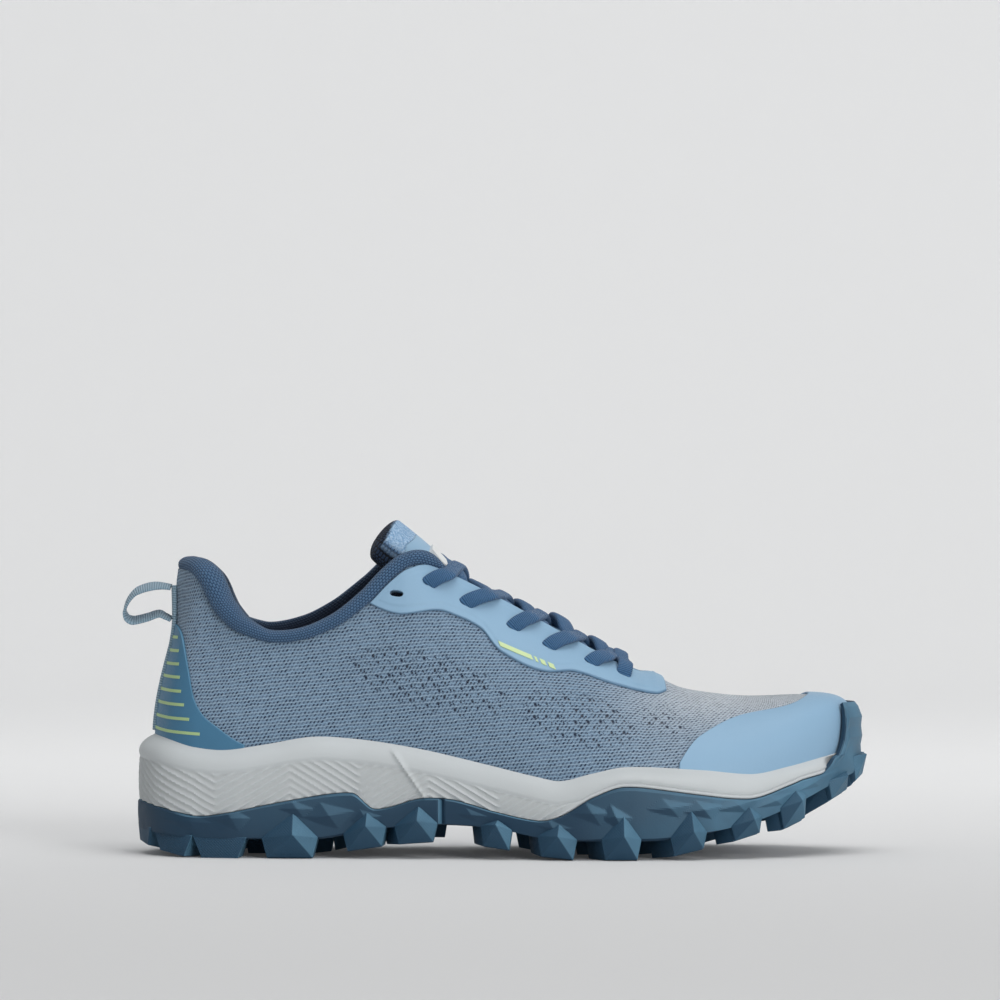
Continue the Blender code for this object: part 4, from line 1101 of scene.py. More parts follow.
def makeCollar():
    look = collarLook
    s = np.linspace(0, stationAt(look["end"]), look["stations"])
    seat = wallThickness + seatGap
    parts = []
    for side in otherSide:
        edge = skinPoint(side, s, 1.0, 0.0)
        out = outward(side, s)
        size, inward = (curve(look[name])(section[side]["topX"](s))[:, None] for name in ("size", "shift"))
        rising = unit(np.cross(np.gradient(edge, axis=0), out))
        rising = rising * np.sign(rising[:, 2:])
        roll = [edge - inward * out + size * (u * out + v * rising) for u, v in look["roll"]]
        deep = mix(1.0, look["liningLeft"], ease(xAt(side, s), *look["liningTo"]))
        places = [atHeight(side, s, edge[:, 2] - deep * depth) for depth, _ in look["lining"]]
        inner = [skinPoint(side, s, t, -(seat + deep * pad)) for t, (_, pad) in zip(places, look["lining"])]
        outer = [skinPoint(side, s, t, -seat) for t in reversed(places)]
        corner = edge - upward - wallThickness * out
        outline = np.stack(roll + inner + outer + [corner], axis=1)
        smooth = closedOutline(outline, look["corners"])
        turn = np.linspace(0, outline.shape[1], look["corners"], endpoint=False)
        around = np.array([lengthsAlong(ring) for ring in smooth])
        uv = pointsOf(weaveAlong(side, s)[:, None], around)
        part = tubePart(smooth, uv, {"inside": ease(turn, *look["darkFrom"]) + 0.0 * around})
        del part["faces"][-2]  # open where the halves meet
        parts.append(part)
    collar = newPiece("collar", together(parts), collarCloth, "collar_cloth", ("collar",))


makeCollar()

tongueColumns = ("x", "height", "halfWidth", "edgeDrop", "thickness", "lean")
tongueSections = (
    (204.0, 60.8, 8.0, 2.0, 1.6, 0.0),
    (195.0, 64.4, 9.0, 2.5, 1.8, 0.0),
    (190.0, 65.6, 10.0, 3.0, 2.0, 0.0),
    (186.0, 69.0, 12.0, 4.0, 2.4, 0.0),
    (172.0, 77.0, 16.0, 5.0, 3.0, 0.0),
    (155.0, 86.2, 18.0, 6.0, 3.4, 0.0),
    (139.5, 94.2, 19.0, 7.0, 4.0, 0.0),
    (130.0, 99.6, 20.0, 8.0, 4.5, 0.0),
    (118.6, 108.2, 19.0, 8.0, 5.5, 0.0),
    (111.0, 116.4, 14.5, 4.5, 11.0, 0.42),
    (104.0, 122.3, 17.0, 4.0, 17.0, 0.52),
    (99.4, 125.9, 18.0, 4.0, 17.0, 0.57),
)
tongueAt = curves(tongueColumns, tongueSections)
tongueLook = {
    "tucked": (111.0, 119.0), "loose": (189.0, 195.0), "clear": 1.1, "edgeAt": 0.92,
    "shoulder": (0.72, 0.5), "rows": 110, "corners": 56, "girth": 60.0, "boxing": (0.7, 0.55),
    "fineFrom": 112.0, "fill": 0.55,
    "endDome": 4.0, "endRows": 10, "endSize": 0.02, "overEnd": 2.2, "behind": (-0.28, -0.18),
    "band": (-0.46, -0.38),
    "panelEdge": (
        (113.0, 101.9), (115.0, 101.8), (117.0, 102.3), (119.0, 105.0), (121.2, 106.0), (123.0, 107.5),
    ),
}


# five points across the tongue's face: y and height
def tongueSection(x):
    look = tongueLook
    at = {name: read(x) for name, read in tongueAt.items()}
    s = stationAt(min(x, lastSections[throatEndRow][0] - 0.5))
    share = ease(x, *look["tucked"]) * (1 - ease(x, *look["loose"]))
    sides = []
    for side in otherSide:
        half = sideSign[side] * at["halfWidth"]
        shape = ((1.0, 1.0), look["shoulder"])
        free = np.array([(half * wide, at["height"] - at["edgeDrop"] * drop) for wide, drop in shape])
        places = np.array((look["edgeAt"], 1.0))
        tucked = skinPoint(side, s, places, -(wallThickness + look["clear"]))[:, 1:]
        sides.append(mix(free, tucked, share))
    (edge, near), (farEdge, far) = sides
    return np.array((edge, near, ((near[0] + far[0]) / 2, at["height"]), far, farEdge))


def tongueTop(x, y):
    return throughPoints(*tongueSection(x).T)(y)


def makeTongue():
    look = tongueLook
    half = look["rows"] // 2
    first, last = tongueSections[0][0], tongueSections[-1][0]
    coarse = np.linspace(first, look["fineFrom"], half)
    xs = np.concatenate((coarse[:-1], np.linspace(look["fineFrom"], last, half)))
    cosine, sine = circle(look["corners"])
    acrossShare = boxed(cosine, look["boxing"][0])
    fullness = boxed(sine, look["boxing"][1])
    steps = lengthsAlong(pointsOf(xs, 0.0, tongueAt["height"](xs)))
    rows = [(x, 0.0, 1.0, place) for x, place in zip(xs, steps)]
    for turn in np.linspace(0, math.pi / 2, look["endRows"] + 1)[1:]:
        past = look["endDome"] * math.sin(turn)
        rows.append((last, past, max(math.cos(turn), look["endSize"]), steps[-1] + look["endDome"] * turn))
    outlines = []
    marks = []
    for x, past, size, place in rows:
        points = tongueSection(x)
        y = mix(points[0, 0], points[-1, 0], (acrossShare + 1) / 2)
        height = tongueAt["height"](x)
        fall = height - throughPoints(*points.T)(y)
        lean = tongueAt["lean"](x)
        normal = np.array((math.sin(lean), 0.0, math.cos(lean)))
        ahead = np.array((-math.cos(lean), 0.0, math.sin(lean)))
        depth = tongueAt["thickness"](x) / 2 * (1 - fullness)
        ring = pointsOf(x, y, height) - fall[:, None] * normal - depth[:, None] * normal
        centre = ring.mean(axis=0)
        outlines.append(centre + size * (ring - centre) + past * ahead)
        toBack = -fullness + look["overEnd"] * past / look["endDome"]
        behind = ease(toBack, *look["behind"])
        panel = ease(ring[:, 0] - np.interp(ring[:, 2], *zip(*look["panelEdge"])), -0.2, 0.2)
        marks.append((behind, panel, ease(toBack, *look["band"]) * (1 - behind)))
    around = np.linspace(0, look["girth"], look["corners"], endpoint=False)
    uv = pointsOf(np.array(rows)[:, 3:], around)
    masks = dict(zip(("inside", "panel", "band"), np.array(marks).swapaxes(0, 1)))
    part = tubePart(np.array(outlines), uv, masks)
    tongue = newPiece("tongue", part, tongueCloth, "tongue_cloth", ("tongue",))


makeTongue()

labelLook = {
    "from": 111.2, "to": 118.8, "halfWidth": 9.0, "sunk": 0.5, "proud": 1.2, "rows": 14, "columns": 18,
}


def makeLabel():
    look = labelLook
    xs = np.linspace(look["from"], look["to"], look["rows"])
    ys = np.linspace(-look["halfWidth"], look["halfWidth"], look["columns"])
    face = pointsOf(xs[:, None], ys, np.array([tongueTop(x, ys) for x in xs]))
    normal = unit(np.cross(np.gradient(face, axis=0), np.gradient(face, axis=1)))
    normal *= np.sign(normal[..., 2:])
    part = platePart(face - look["sunk"] * normal, face + look["proud"] * normal)
    newPiece("tongueLabel", part, labelPrint, "tongue_cloth", sharp=40)


makeLabel()

# levels: share of the thickness, pull in from the wall
insoleLook = {
    "thick": 4.2, "inset": 2.45, "stations": 160, "dip": 0.8, "inward": (0.35, 0.7, 1.0),
    "levels": ((0.0, 0.4), (0.15, 0.0), (0.8, 0.0), (1.0, 0.9)),
}


def makeInsole():
    look = insoleLook
    s = np.linspace(0, toeEnd, look["stations"])
    sides = []
    for side in otherSide:
        rings = []
        for level, pull in look["levels"]:
            height = soleAt["feather"](xAt(side, s)) + level * look["thick"]
            ring = skinPoint(side, s, atHeight(side, s, height), -(look["inset"] + pull))
            ring[:, 2] = height
            rings.append(ring)
        sides.append(np.array(rings))
    rings = roundShoe(sides)
    # the footbed dips towards its middle line
    top = rings[-1]
    middle = (top + top[-np.arange(len(top))]) / 2 - look["dip"] * upward
    rings = np.concatenate((rings, [mix(top, middle, share) for share in look["inward"]]))
    part = partOf(rings, stackFaces(rings, (0,)), rings[..., :2])
    newPiece("insole", part, liningCloth, "lining", ("insole",))


makeInsole()

rubberWall = 2.5
midsoleLook = {
    "stations": 400, "bellyRows": 36, "bandRows": 10, "ledgeDepth": 8.0, "ledgeRise": 1.2, "lip": 1.2,
    "pitch": 2.8, "slope": 0.6, "relief": 0.75, "reliefTo": (170.0, 158.0),
    "valleys": (32.4, 85.4, 137.6), "peaks": (59.3, 111.5, 165.6),
    "seamFrom": (98.2, 39.9), "seamTo": (110.7, 22.1), "seamWidth": 0.68, "seamHeight": 1.25,
    "belly": (-0.1, 1.5, -1.6), "reliefMiddle": 0.6, "ledgeFrom": (0.1, 0.5), "shoulder": (0.7, 0.58),
    "rim": ((0.45, 0.9), (0.35, 0.45), (-1.0, 0.25)),  # lift, offset from the skin
}
# rubber that climbs the toe: distance from its middle line and share of the climb there
bumperLook = {
    "climb": ((13.8, 1.0), (15.4, 0.84), (17.2, 0.44), (20.0, 0.21), (24.0, 0.06), (28.0, 0.0)),
    "y": 6.0, "top": 55.4, "inside": 2.1, "outside": 3.9, "thin": 1.4, "tuck": 1.5,
    "innerRows": (0.35, 0.7, 1.0),
    "outerRows": ((1.0, -0.5), (0.94, 0.0), (0.8, 0.5), (0.66, -0.1), (0.5, 0.4), (0.35, 0.0), (0.2, 0.3)),
}


def bumperShare(side, s, widen):
    reach = np.abs(section[side]["y"](s) - bumperLook["y"]) + np.where(s < throatEnd, toeEnd, 0.0)
    return np.clip(curve(bumperLook["climb"])(reach - widen), 0, 1)


# height that the slanted ribs of the foam climb, in zigzags along the side
def zigzag(s):
    slope = midsoleLook["slope"]
    valleys, peaks = (stationAt(midsoleLook[name]) for name in ("valleys", "peaks"))
    knots = np.concatenate(([0.0], np.stack((valleys, peaks), axis=1).ravel()))
    climbs = np.stack((0.0 * peaks, slope * (peaks - valleys)), axis=1).ravel()
    return np.interp(s, knots, np.concatenate(([slope * valleys[0]], climbs)))


# raised bead that crosses the foam's side
def seamBead(x, height):
    look = midsoleLook
    (x0, z0), (x1, z1) = look["seamFrom"], look["seamTo"]
    off = ((x - x0) * (z1 - z0) - (height - z0) * (x1 - x0)) / math.hypot(x1 - x0, z1 - z0)
    return look["seamHeight"] * bell(off, 0.0, look["seamWidth"]) * ease(height, z0 + 2.0, z0 - 1.0)


def makeMidsole():
    look = midsoleLook
    s = np.linspace(0, toeEnd, look["stations"])
    flat, slope, bend = look["belly"]
    ledgeOut, ledgeUp = look["ledgeFrom"]
    shoulderIn, shoulderAt = look["shoulder"]
    sides = []
    grooveShades = []
    for side in otherSide:
        flare, rim, edge = soleSizes(side, s)
        x = xAt(side, s)
        out = outward(side, s)
        inside = flare - rubberWall - seatGap
        reach = mix(flare, inside, ease(bumperShare(side, s, bumperLook["tuck"]), 0.0, 0.2))
        edge = edge + seatGap
        ledge = np.maximum(rim - look["ledgeDepth"], edge + look["ledgeRise"])
        floor = aboveBase(rubberWall + seatGap)
        rings = [solePoint(side, s, inside, height) for height in (floor, edge)]
        groove = [0.0 * s for _ in rings]
        for share in np.linspace(0, 1, look["bellyRows"]):
            height = mix(edge, ledge, share)
            bulge = flat + slope * share + bend * share ** 2
            ridge = (0.5 + 0.5 * np.cos(2 * np.pi * (height - zigzag(s)) / look["pitch"])) ** 3
            fade = ease(x, *look["reliefTo"]) * ease(ledge - height, 0.0, 0.9)
            fade = fade * ease(ledge - edge, 1.5, 4.0)
            relief = look["relief"] * (ridge - look["reliefMiddle"]) * fade
            rings.append(solePoint(side, s, reach + bulge + relief + seamBead(x, height), height))
            # painted shade: the share of darker paint grows away from the ridges' tops, into the grooves
            groove.append((1 - ridge) * fade)
        # the band: a curve through ledge, shoulder and rim
        rimOut = skinPoint(side, s, atHeight(side, s, rim), look["lip"])
        ledgePoint = solePoint(side, s, reach + ledgeOut, ledge + ledgeUp)
        shoulder = solePoint(side, s, reach - shoulderIn, mix(ledge, rim, shoulderAt))
        for u in np.linspace(0, 1, look["bandRows"]):
            point = ledgePoint * (1 - u) * (1 - 2 * u) + shoulder * 4 * u * (1 - u)
            point = point + rimOut * u * (2 * u - 1)
            rings.append(point + seamBead(x, point[:, 2])[:, None] * out)
        rings += [skinPoint(side, s, atHeight(side, s, rim + lift), offset) for lift, offset in look["rim"]]
        rings.append(skinPoint(side, s, 0.0, seatGap) - seatGap * upward)
        groove += [0.0 * s] * (len(rings) - len(groove))
        sides.append(np.array(rings))
        grooveShades.append(np.array(groove))
    rings = roundShoe(sides)
    part = partOf(rings, stackFaces(rings, (0, len(rings) - 1)), masks={"groove": roundShoe(grooveShades)})
    newPiece("midsole", part, foam, "foam", ("midsole",), sharp=50)


makeMidsole()

outsoleLook = {
    "stations": 500, "edgeReach": 0.2, "swell": 0.5, "swellAt": 0.3, "corner": 0.8, "baseInset": 3.0,
    "wallRows": 26, "grooveAt": 116.7, "grooveWidth": 0.7, "grooveDepth": 1.6,
    "facetDepth": 0.75, "facetLean": 0.35,
    # broken-rock facets: x, height above the base, half length, half height, bulge
    "facets": (
        (24.0, 6.0, 8.0, 4.5, 0.8), (38.0, 8.0, 7.0, 5.0, 1.1), (62.0, 11.5, 7.0, 3.5, 0.9),
        (74.0, 8.5, 10.0, 5.5, 1.5), (88.0, 5.0, 6.0, 3.5, 1.0), (128.0, 4.5, 6.0, 2.5, 0.8),
        (158.0, 5.0, 7.0, 3.5, 1.0), (172.0, 10.5, 8.0, 4.5, 1.2), (180.5, 9.0, 6.0, 5.0, 1.5),
        (200.0, 12.0, 9.0, 4.0, 1.1), (212.0, 9.5, 8.0, 4.0, 1.4), (224.0, 8.5, 9.0, 3.5, 1.3),
        (238.0, 5.5, 7.0, 2.8, 1.1), (252.0, 5.0, 6.0, 2.6, 0.9),
    ),
}


def rockDepth(x, aboveBottom):
    depth = 0.0 * x
    for middle, rise, halfX, halfZ, bulge in outsoleLook["facets"]:
        up = (aboveBottom - rise) / halfZ
        cut = 1 - np.abs((x - middle) / halfX + outsoleLook["facetLean"] * up) - np.abs(up)
        depth = np.maximum(depth, outsoleLook["facetDepth"] * bulge * np.clip(cut, 0, 1))
    return depth


def makeOutsole():
    look = outsoleLook
    s = np.linspace(0, toeEnd, look["stations"])
    sides = []
    for side in otherSide:
        flare, rim, edge = soleSizes(side, s)
        x = xAt(side, s)
        base = soleAt["base"](x)
        climb = bumperShare(side, s, 0.0)
        inside = flare - rubberWall
        thinned = inside + bumperLook["thin"] * ease(climb, 0.0, 0.3)
        outside = flare + look["edgeReach"]
        notch = look["grooveDepth"] * bell(x, look["grooveAt"], look["grooveWidth"])

        def climbing(share, reach, offset):
            height = mix(edge, bumperLook["top"], climb * share)
            onUpper = skinPoint(side, s, atHeight(side, s, np.maximum(height, rim)), offset)
            return mix(solePoint(side, s, reach, height), onUpper, ease(height, edge, rim)[:, None])

        rings = [solePoint(side, s, inside, aboveBase(rubberWall))]
        rings += [climbing(share, thinned, bumperLook["inside"]) for share in bumperLook["innerRows"]]
        for share, ripple in bumperLook["outerRows"]:
            rings.append(climbing(share, outside, bumperLook["outside"] + ripple))
        for share in np.linspace(0.06, 0.94, look["wallRows"]):
            height = mix(edge, base, share)
            swell = look["swell"] * (1 - ((share - look["swellAt"]) / (1 - look["swellAt"])) ** 2)
            rings.append(solePoint(side, s, outside + swell + rockDepth(x, height - base) - notch, height))
        rings.append(solePoint(side, s, flare - look["corner"] - notch, aboveBase(0.3 * look["corner"])))
        rings.append(solePoint(side, s, flare - look["baseInset"], soleAt["base"]))
        sides.append(np.array(rings))
    rings = roundShoe(sides)
    part = partOf(rings, stackFaces(rings, (0, len(rings) - 1)))
    newPiece("outsole", part, rubber, "rubber", ("outsole",), sharp=11)


makeOutsole()

lugLook = {
    "taper": 0.1, "root": 1.2, "peak": 10.0, "peakReach": 0.9, "apexAt": 0.56, "apexRise": 2.2,
    "apexReach": 5.4, "cornerRise": 0.8, "cornerReach": 0.5, "footInset": 0.8, "footReach": 1.0,
    "noseRoot": 1.75, "noseRise": 0.4,
    "belowEdge": 2.5, "bevel": 0.25, "flushGrow": 1.5, "flushReach": 0.75, "flushFoot": 0.3,
    "skew": 6.5, "skewFrom": (85.0, 112.0), "toeSkew": 0.45, "toeSkewFrom": (205.0, 240.0),
    "stubFrom": (262.0, 290.0), "stubReach": 3.6, "stubRise": 4.2, "riseFrom": (282.0, 290.0),
    # side lugs near the toe reach below the tread: x, drop
    "toeDrop": (
        (234.0, 0.0), (240.0, 1.9), (247.0, 3.8), (255.0, 4.0), (263.0, 4.2), (268.0, 4.8), (274.0, 3.4),
    ),
    # how far they run in from the side: start along the outline, depth
    "depth": ((205.0, 14.0), (212.0, 14.0), (234.0, 9.8), (254.0, 6.5), (277.0, 13.0), (293.0, 14.0)),
    # along the outline: start, end, and whether a pointed nose climbs the wall
    "sideLugs": (
        (3.0, 17.0, False), (21.0, 33.0, False), (36.0, 52.0, False), (59.0, 80.0, True),
        (89.5, 106.0, True), (109.0, 125.5, True), (142.0, 154.0, True), (163.5, 178.0, True),
        (186.5, 201.0, True), (211.5, 225.0, True), (234.0, 246.5, True), (254.0, 265.5, True),
        (276.4, 287.8, True), (293.0, 303.0, True),
    ),
}
middleLugs = {
    "rows": (34.0, 58.0, 102.0, 150.0, 172.0, 194.0, 216.0, 236.0), "y": 11.0, "half": (7.0, 6.0),
    "fineRows": (22.0, 46.0, 70.0, 79.0, 90.0, 113.0, 161.0, 183.0, 205.0, 226.0, 244.0),
    "fineHalf": (5.0, 9.0), "foot": (0.75, 0.8), "lift": 5.2, "liftFrom": (216.0, 238.0),
}
toeDrop = curve(lugLook["toeDrop"])
lugDepth = curve(lugLook["depth"])


# convex block round its corners, with softened edges
def blockPart(corners):
    bm = bmesh.new()
    for corner in corners:
        bm.verts.new(corner)
    result = bmesh.ops.convex_hull(bm, input=bm.verts)
    loose = [v for v in result["geom_interior"] if isinstance(v, bmesh.types.BMVert)]
    bmesh.ops.delete(bm, geom=loose, context="VERTS")
    bmesh.ops.dissolve_limit(bm, angle_limit=math.radians(2), verts=bm.verts, edges=bm.edges)
    soft = {"offset": lugLook["bevel"], "segments": 2, "profile": 0.6}
    bmesh.ops.bevel(bm, geom=bm.edges, affect="EDGES", clamp_overlap=True, **soft)
    bm.verts.index_update()
    points = np.array([v.co[:] for v in bm.verts])
    faces = [tuple(v.index for v in face.verts) for face in bm.faces]
    bm.free()
    return partOf(points, faces)


def sideLug(side, start, end, pointed):
    look = lugLook
    inset = look["taper"] * (end - start)
    footEnds = np.array((start + inset, end - inset))
    grow = 0.0 if pointed else look["flushGrow"]
    ends = np.array((start - grow, end + grow))
    apex = np.array((mix(start, end, look["apexAt"]),))
    flare, _, edge = soleSizes(side, apex)
    base = soleAt["base"](xAt(side, apex))
    foot = look["footInset"] if pointed else -look["flushFoot"]
    noseFoot = look["footReach"] if pointed else look["flushFoot"]
    corner = look["cornerReach"] if pointed else look["flushReach"]
    back = flare - lugDepth(start)
    noseRoot = flare - look["noseRoot"]
    root = aboveBase(look["root"])

    def ground(x):
        return soleAt["tread"](x) - toeDrop(x)

    def lowered(x):
        return ground(x) + look["noseRise"]

    toToe = mix(1.0, look["toeSkew"], ease(start, *look["toeSkewFrom"]))
    skew = look["skew"] * toToe * ease(start, *look["skewFrom"])
    rise = look["stubRise"] * ease(start, *look["riseFrom"])
    block = [
        solePoint(side, ends - skew, back, root),
        solePoint(side, ends, noseRoot, root),
        solePoint(side, footEnds - skew, back + look["footInset"], ground),
        solePoint(side, footEnds, flare - foot, ground),
    ]
    nose = [
        solePoint(side, ends, noseRoot, root),
        solePoint(side, ends, flare + corner, aboveBase(look["cornerRise"] + rise)),
        solePoint(side, footEnds, noseRoot, lowered),
        solePoint(side, footEnds, flare + noseFoot, lowered),
    ]
    if pointed:
        peak = np.minimum(edge - look["belowEdge"], base + look["peak"])
        reach = mix(look["apexReach"], look["stubReach"], ease(start, *look["stubFrom"]))
        nose.append(solePoint(side, apex, flare + look["peakReach"], peak + rise))
        nose.append(solePoint(side, apex, flare + reach, base + look["apexRise"] + rise))
    return [blockPart(np.concatenate(corners)) for corners in (block, nose)]


def middleLug(x, y, half):
    look = middleLugs
    corners = []
    for acrossX in (-1, 1):
        for acrossY in (-1, 1):
            px, py = x + acrossX * half[0], y + acrossY * half[1]
            corners.append((px, py, soleAt["base"](px) + lugLook["root"]))
            footX, footY = mix(x, px, look["foot"][0]), mix(y, py, look["foot"][1])
            lift = look["lift"] * ease(footX, *look["liftFrom"])
            corners.append((footX, footY, soleAt["tread"](footX) + lift))
    return blockPart(corners)


def makeLugs():
    look = middleLugs
    parts = []
    for side in otherSide:
        for lug in lugLook["sideLugs"]:
            parts += sideLug(side, *lug)
    parts += [middleLug(x, y, look["half"]) for x in look["rows"] for y in (-look["y"], look["y"])]
    parts += [middleLug(x, 0.0, look["fineHalf"]) for x in look["fineRows"]]
    newPiece("lugs", together(parts), lugRubber, "rubber", sharp=30)


makeLugs()

webbingLook = {
    "width": 10.0, "thick": 1.2, "foot": 46.6, "top": 101.4, "off": 0.7, "edge": 0.6, "tilt": 0.3,
    "columns": 10, "rows": 90, "loopRows": 120, "seat": 0.2,
    "line": (
        (12.0, 100.6), (7.0, 101.2), (0.1, 99.4), (-3.7, 95.4), (-4.9, 91.8), (-4.0, 89.2),
        (-1.5, 88.1), (3.8, 89.3), (8.1, 90.6), (10.6, 89.6), (12.0, 87.9),
    ),
}


def makeHeelTape():
    look = webbingLook
    half = look["width"] / 2
    s = np.linspace(0, half, look["columns"])
    heights = np.linspace(look["foot"], look["top"], look["rows"])
    edge = roundedEdge(half - s, look["edge"])
    parts = []
    for side in otherSide:
        t = np.stack([atHeight(side, s, height) for height in heights])
        inner = skinPoint(side, s, t, look["seat"])
        outer = skinPoint(side, s, t, look["off"] + look["thick"] * mix(0.2, 1.0, edge))
        parts.append(platePart(inner, outer, pointsOf(heights[:, None], weaveAlong(side, s))))
    newPiece("heelTape", together(parts), webbing, "webbing", ("heel_tape",))


def makePullLoop():
    look = webbingLook
    off = look["off"] + look["thick"] + look["seat"]

    def seat(height):
        return skinPoint("lateral", 0.0, atHeight("lateral", 0.0, height), off)[[0, 2]]

    drawn = look["line"]
    x, z = smoothLine([seat(drawn[0][1]), *drawn[1:-1], seat(drawn[-1][1])], look["loopRows"]).T
    share = np.linspace(0, 1, len(x))
    tilt = look["tilt"] * mix(0.6, 1.0, ease(share, 0.0, 0.2) * ease(share, 1.0, 0.8))
    across = pointsOf(0.0, np.cos(tilt), np.sin(tilt))
    part = strapPart(pointsOf(x, 0.0, z), across, look["width"], look["thick"])
    newPiece("pullLoop", part, webbing, "webbing", ("pull_loop",))


makeHeelTape()
makePullLoop()

# lifts over the tongue, from the top cross down: crest of the outer strand, arch of the inner one
laceLook = {
    "width": 6.0, "thick": 2.4, "samples": 70,
    "crest": (4.8, 4.6, 4.8, 4.6, 5.0), "arch": (2.8, 3.0, 5.0, 7.0, 6.4),
    "barLift": 6.4, "barFall": 1.2, "lean": {"lateral": 0.6, "medial": 0.1}, "inSlot": (-3.0, 0.9),
    "farAt": 0.88, "underAt": (0.9, 0.99), "underLift": 0.2, "underFall": 0.4, "tongueHalf": 9.0,
    "onFilm": ((0.35, 0.35), (0.75, 0.5)),  # share of the way to the throat's edge, lift
}


def lacePath(side, pair):
    look = laceLook
    last = pair == len(eyelets) - 1
    half = look["thick"] / 2
    onFilm = filmGap + eyestayLook["thick"] + eyestayLook["step"] + half
    under = -(wallThickness + half + look["underLift"])
    other = otherSide[side]
    lean = look["lean"][side]
    x0, z0 = eyelets[pair]
    x1, z1 = eyelets[pair if last else pair + 1]
    s, t = eyeletAt(side, (x0, z0))
    s1, t1 = eyeletAt(other, (x1, z1))
    points = [skinPoint(side, s, t, offset) for offset in look["inSlot"]]
    for share, lift in look["onFilm"]:
        place = stationAt(mix(x0, x1, lean * share))
        points.append(skinPoint(side, place, mix(t, 1.0, share), onFilm + lift))
    near = skinPoint(side, stationAt(mix(x0, x1, lean)), 1.0, 0.0)
    far = skinPoint(other, stationAt(mix(x0, x1, look["farAt"])), 1.0, 0.0)
    if last:
        ends = look["barLift"] - look["barFall"]
        lifts = ((0.1, ends), (0.5, look["barLift"]), (0.9, ends))
    elif side == "lateral":
        crest = look["crest"][pair]
        lifts = ((0.3, crest - 0.6), (0.58, crest), (0.88, 2.2))
    else:
        arch = look["arch"][pair]
        below = max(look["crest"][pair] - look["thick"], look["thick"])
        lifts = ((0.08, arch - 0.5), (0.28, arch), (0.52, below), (0.88, 2.0))
    for share, lift in lifts:
        x, y, _ = mix(near, far, share)
        onTongue = np.clip(y, -look["tongueHalf"], look["tongueHalf"])
        points.append((x, y, tongueTop(x, onTongue) + lift - half))
    if last:
        for share, lift in reversed(look["onFilm"]):
            points.append(skinPoint(other, s1, mix(t1, 1.0, share), onFilm + lift))
        points += [skinPoint(other, s1, t1, offset) for offset in reversed(look["inSlot"])]
    else:
        along, up = look["underAt"]
        points.append(skinPoint(other, stationAt(mix(x0, x1, along)), up, under))
        points.append(skinPoint(other, s1, t1, under - look["underFall"]))
    return smoothLine(points, look["samples"])


def makeLaces():
    for pair in range(len(eyelets)):
        last = pair == len(eyelets) - 1
        parts = []
        for side in (("lateral",) if last else tuple(otherSide)):
            line = lacePath(side, pair)
            slope = (topHeight(line[:, 0] + 3) - topHeight(line[:, 0] - 3)) / 6
            across = unit(pointsOf(1.0, 0.0, slope))
            parts.append(strapPart(line, across, laceLook["width"], laceLook["thick"]))
        name = "laceBar" if last else "laceCross%d" % (pair + 1)
        node = "lace_bar" if last else "lace_cross_%d" % (pair + 1)
        newPiece(name, together(parts), laceCloth, "lace", (node,))


makeLaces()

# stripes on the counter: height at the tape, fall along the stripe, end x
stripeLook = {
    "half": 0.55, "from": 5.3, "columns": 24,
    "stripes": (
        (81.7, 0.0, 15.9), (76.8, 0.1, 16.5), (71.9, 0.1, 16.7), (67.3, 0.4, 17.2), (62.4, 0.7, 17.8),
        (57.6, 0.9, 19.0), (52.6, 1.2, 21.1), (47.9, 1.9, 25.2),
    ),
}
# bar and dashes on the eyestay: start and end x of each, and their common height at x, fall and slant
accentLook = {
    "bars": ((138.3, 150.6), (151.5, 152.5), (153.6, 155.4), (156.5, 158.8)), "columns": 16,
    "x": 138.0, "height": 79.5, "fall": 0.44, "half": 0.95, "slant": 0.45,
}


printSunk = 0.15
printLift = 0.14


# thin print on a film
def printPart(side, s, t, look):
    off = filmGap + look["thick"] + look["step"]
    return platePart(skinPoint(side, s, t, off - printSunk), skinPoint(side, s, t, off + printLift))


def makeHeelStripes():
    look = stripeLook
    off = filmGap + counterLook["thick"]
    places = np.linspace(0, toeEnd / 4, 400)
    parts = []
    for side in otherSide:
        for height, fall, endX in look["stripes"]:
            line = skinPoint(side, places, atHeight(side, places, height), off)
            end = np.interp(endX, line[:, 0], places)
            s = np.linspace(look["from"], end, look["columns"])
            middle = height - fall * np.linspace(0, 1, len(s))
            t = np.stack([atHeight(side, s, middle + look["half"] * across) for across in (-1, 0, 1)])
            parts.append(printPart(side, s, t, counterLook))
    newPiece("heelStripes", together(parts), heelPrint, "counter_film", sharp=40)


def makeAccent():
    look = accentLook
    across = np.array((-1.0, 0.0, 1.0))[:, None]
    parts = []
    for startX, endX in look["bars"]:
        xs = np.linspace(startX, endX, look["columns"])
        s = stationAt(xs - look["slant"] * across)
        t = atHeight("lateral", s, look["height"] - look["fall"] * (xs - look["x"]) + look["half"] * across)
        parts.append(printPart("lateral", s, t, eyestayLook))
    newPiece("accentPrint", together(parts), limePrint, "film", sharp=40)


makeHeelStripes()
makeAccent()

stageLook = {
    "half": 3.5, "front": -3.5, "sweepFrom": 1.6, "radius": 1.4, "height": 3.2,
    "floor": (214, 214, 214), "wall": (244, 244, 244), "wallFrom": (-0.6, 0.9), "glow": 0.085,
}


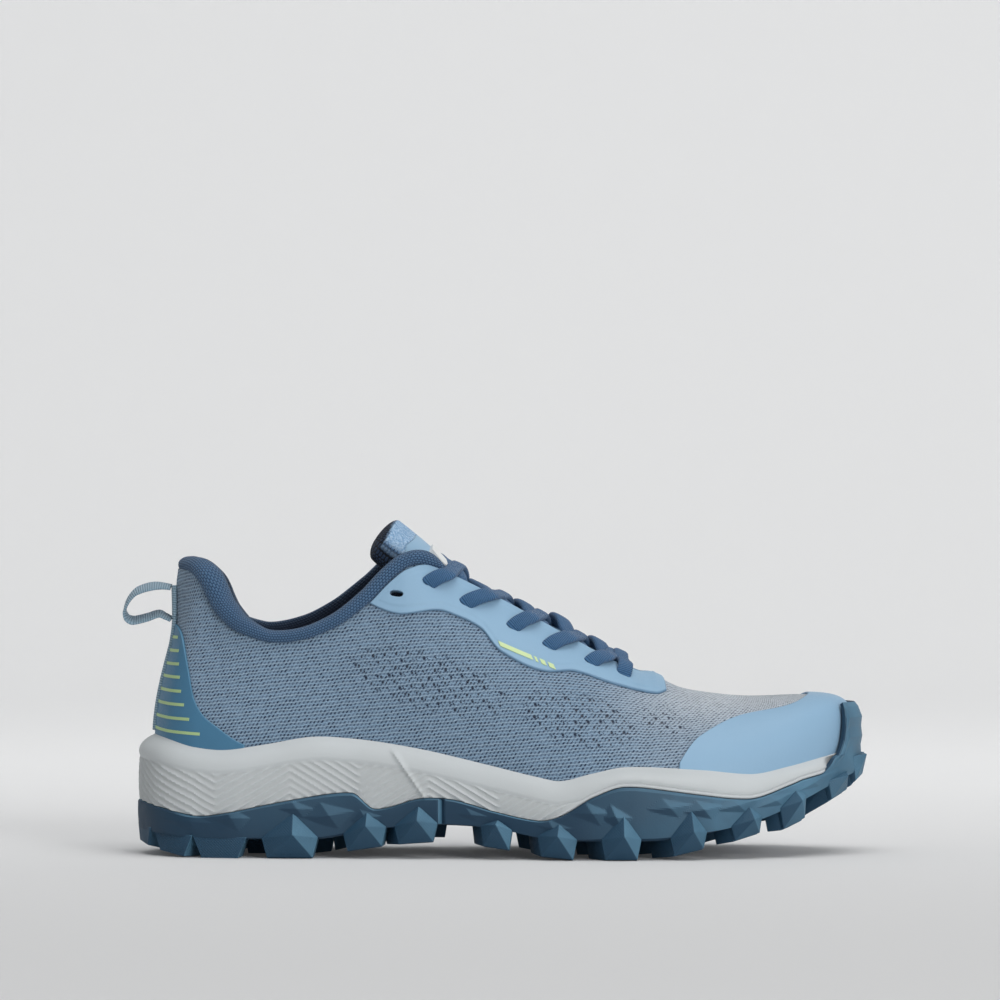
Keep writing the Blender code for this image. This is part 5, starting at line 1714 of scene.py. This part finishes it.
# seamless floor that curves up into a backdrop
def makeStage():
    look = stageLook
    profile = [(look["front"], 0.0), (0.0, 0.0)]
    for angle in np.linspace(0, math.pi / 2, 24):
        rise = look["radius"] * (1 - math.cos(angle))
        profile.append((look["sweepFrom"] + look["radius"] * math.sin(angle), rise))
    profile.append((look["sweepFrom"] + look["radius"], look["height"]))
    points = [(x, y, z) for x in (-look["half"], look["half"]) for y, z in profile]
    mesh = bpy.data.meshes.new("floor")
    mesh.from_pydata(points, [], gridFaces(2, len(profile)).tolist())
    mesh.shade_smooth()
    material, tree, shader = newMaterial("paleFloor", look["floor"], 0.9, 0.1)
    toWall = ramp(axesOf(placeOf(tree))["Y"], *look["wallFrom"])
    plug(blendColour(toWall, look["floor"], look["wall"]), shader.inputs["Base Color"])
    plug((1.0, 1.0, 1.0, 1.0), shader.inputs["Emission Color"])
    plug(times(toWall, look["glow"]), shader.inputs["Emission Strength"])
    mesh.materials.append(material)
    floor = newObject("floor", mesh)


lights = {
    "overhead": {"place": (0.3, -0.6, 3.0), "aim": (0.02, 0.0, 0.03), "size": 2.8, "power": 45.0},
    "frontFill": {"place": (2.3, -4.2, 1.5), "aim": (0.0, 0.0, 0.05), "size": 2.4, "power": 98.0},
}
worldLook = {"Color": (0.96, 0.98, 1.0, 1.0), "Strength": 0.32}


def makeLights():
    for name, look in lights.items():
        data = bpy.data.lights.new(name, "AREA")
        data.shape = "DISK"
        data.size = look["size"]
        data.energy = look["power"]
        lamp = newObject(name, data)
        lamp.location = look["place"]
        x, y, z = np.array(look["aim"]) - np.array(look["place"])
        lamp.rotation_euler = (math.atan2(math.hypot(x, y), -z), 0.0, math.atan2(y, x) - math.pi / 2)
    world = bpy.data.worlds.new("studio")
    world.use_nodes = True
    for name, value in worldLook.items():
        world.node_tree.nodes["Background"].inputs[name].default_value = value
    bpy.context.scene.world = world
    bpy.context.scene.view_settings.view_transform = "Standard"


cameraLook = {"distance": 2.2, "height": 0.1338, "x": 137.6, "fieldOfView": 9.87}


def makeCamera():
    data = bpy.data.cameras.new("photoView")
    data.sensor_width = 36.0
    data.angle = math.radians(cameraLook["fieldOfView"])
    camera = newObject("photoView", data)
    middle = (cameraLook["x"] + standPoint[0]) * mm
    camera.location = (middle, standPoint[1] * mm - cameraLook["distance"], cameraLook["height"])
    camera.rotation_euler = (math.pi / 2, 0.0, 0.0)
    bpy.context.scene.camera = camera


makeStage()
makeLights()
makeCamera()
print("stage, lights and camera ready")
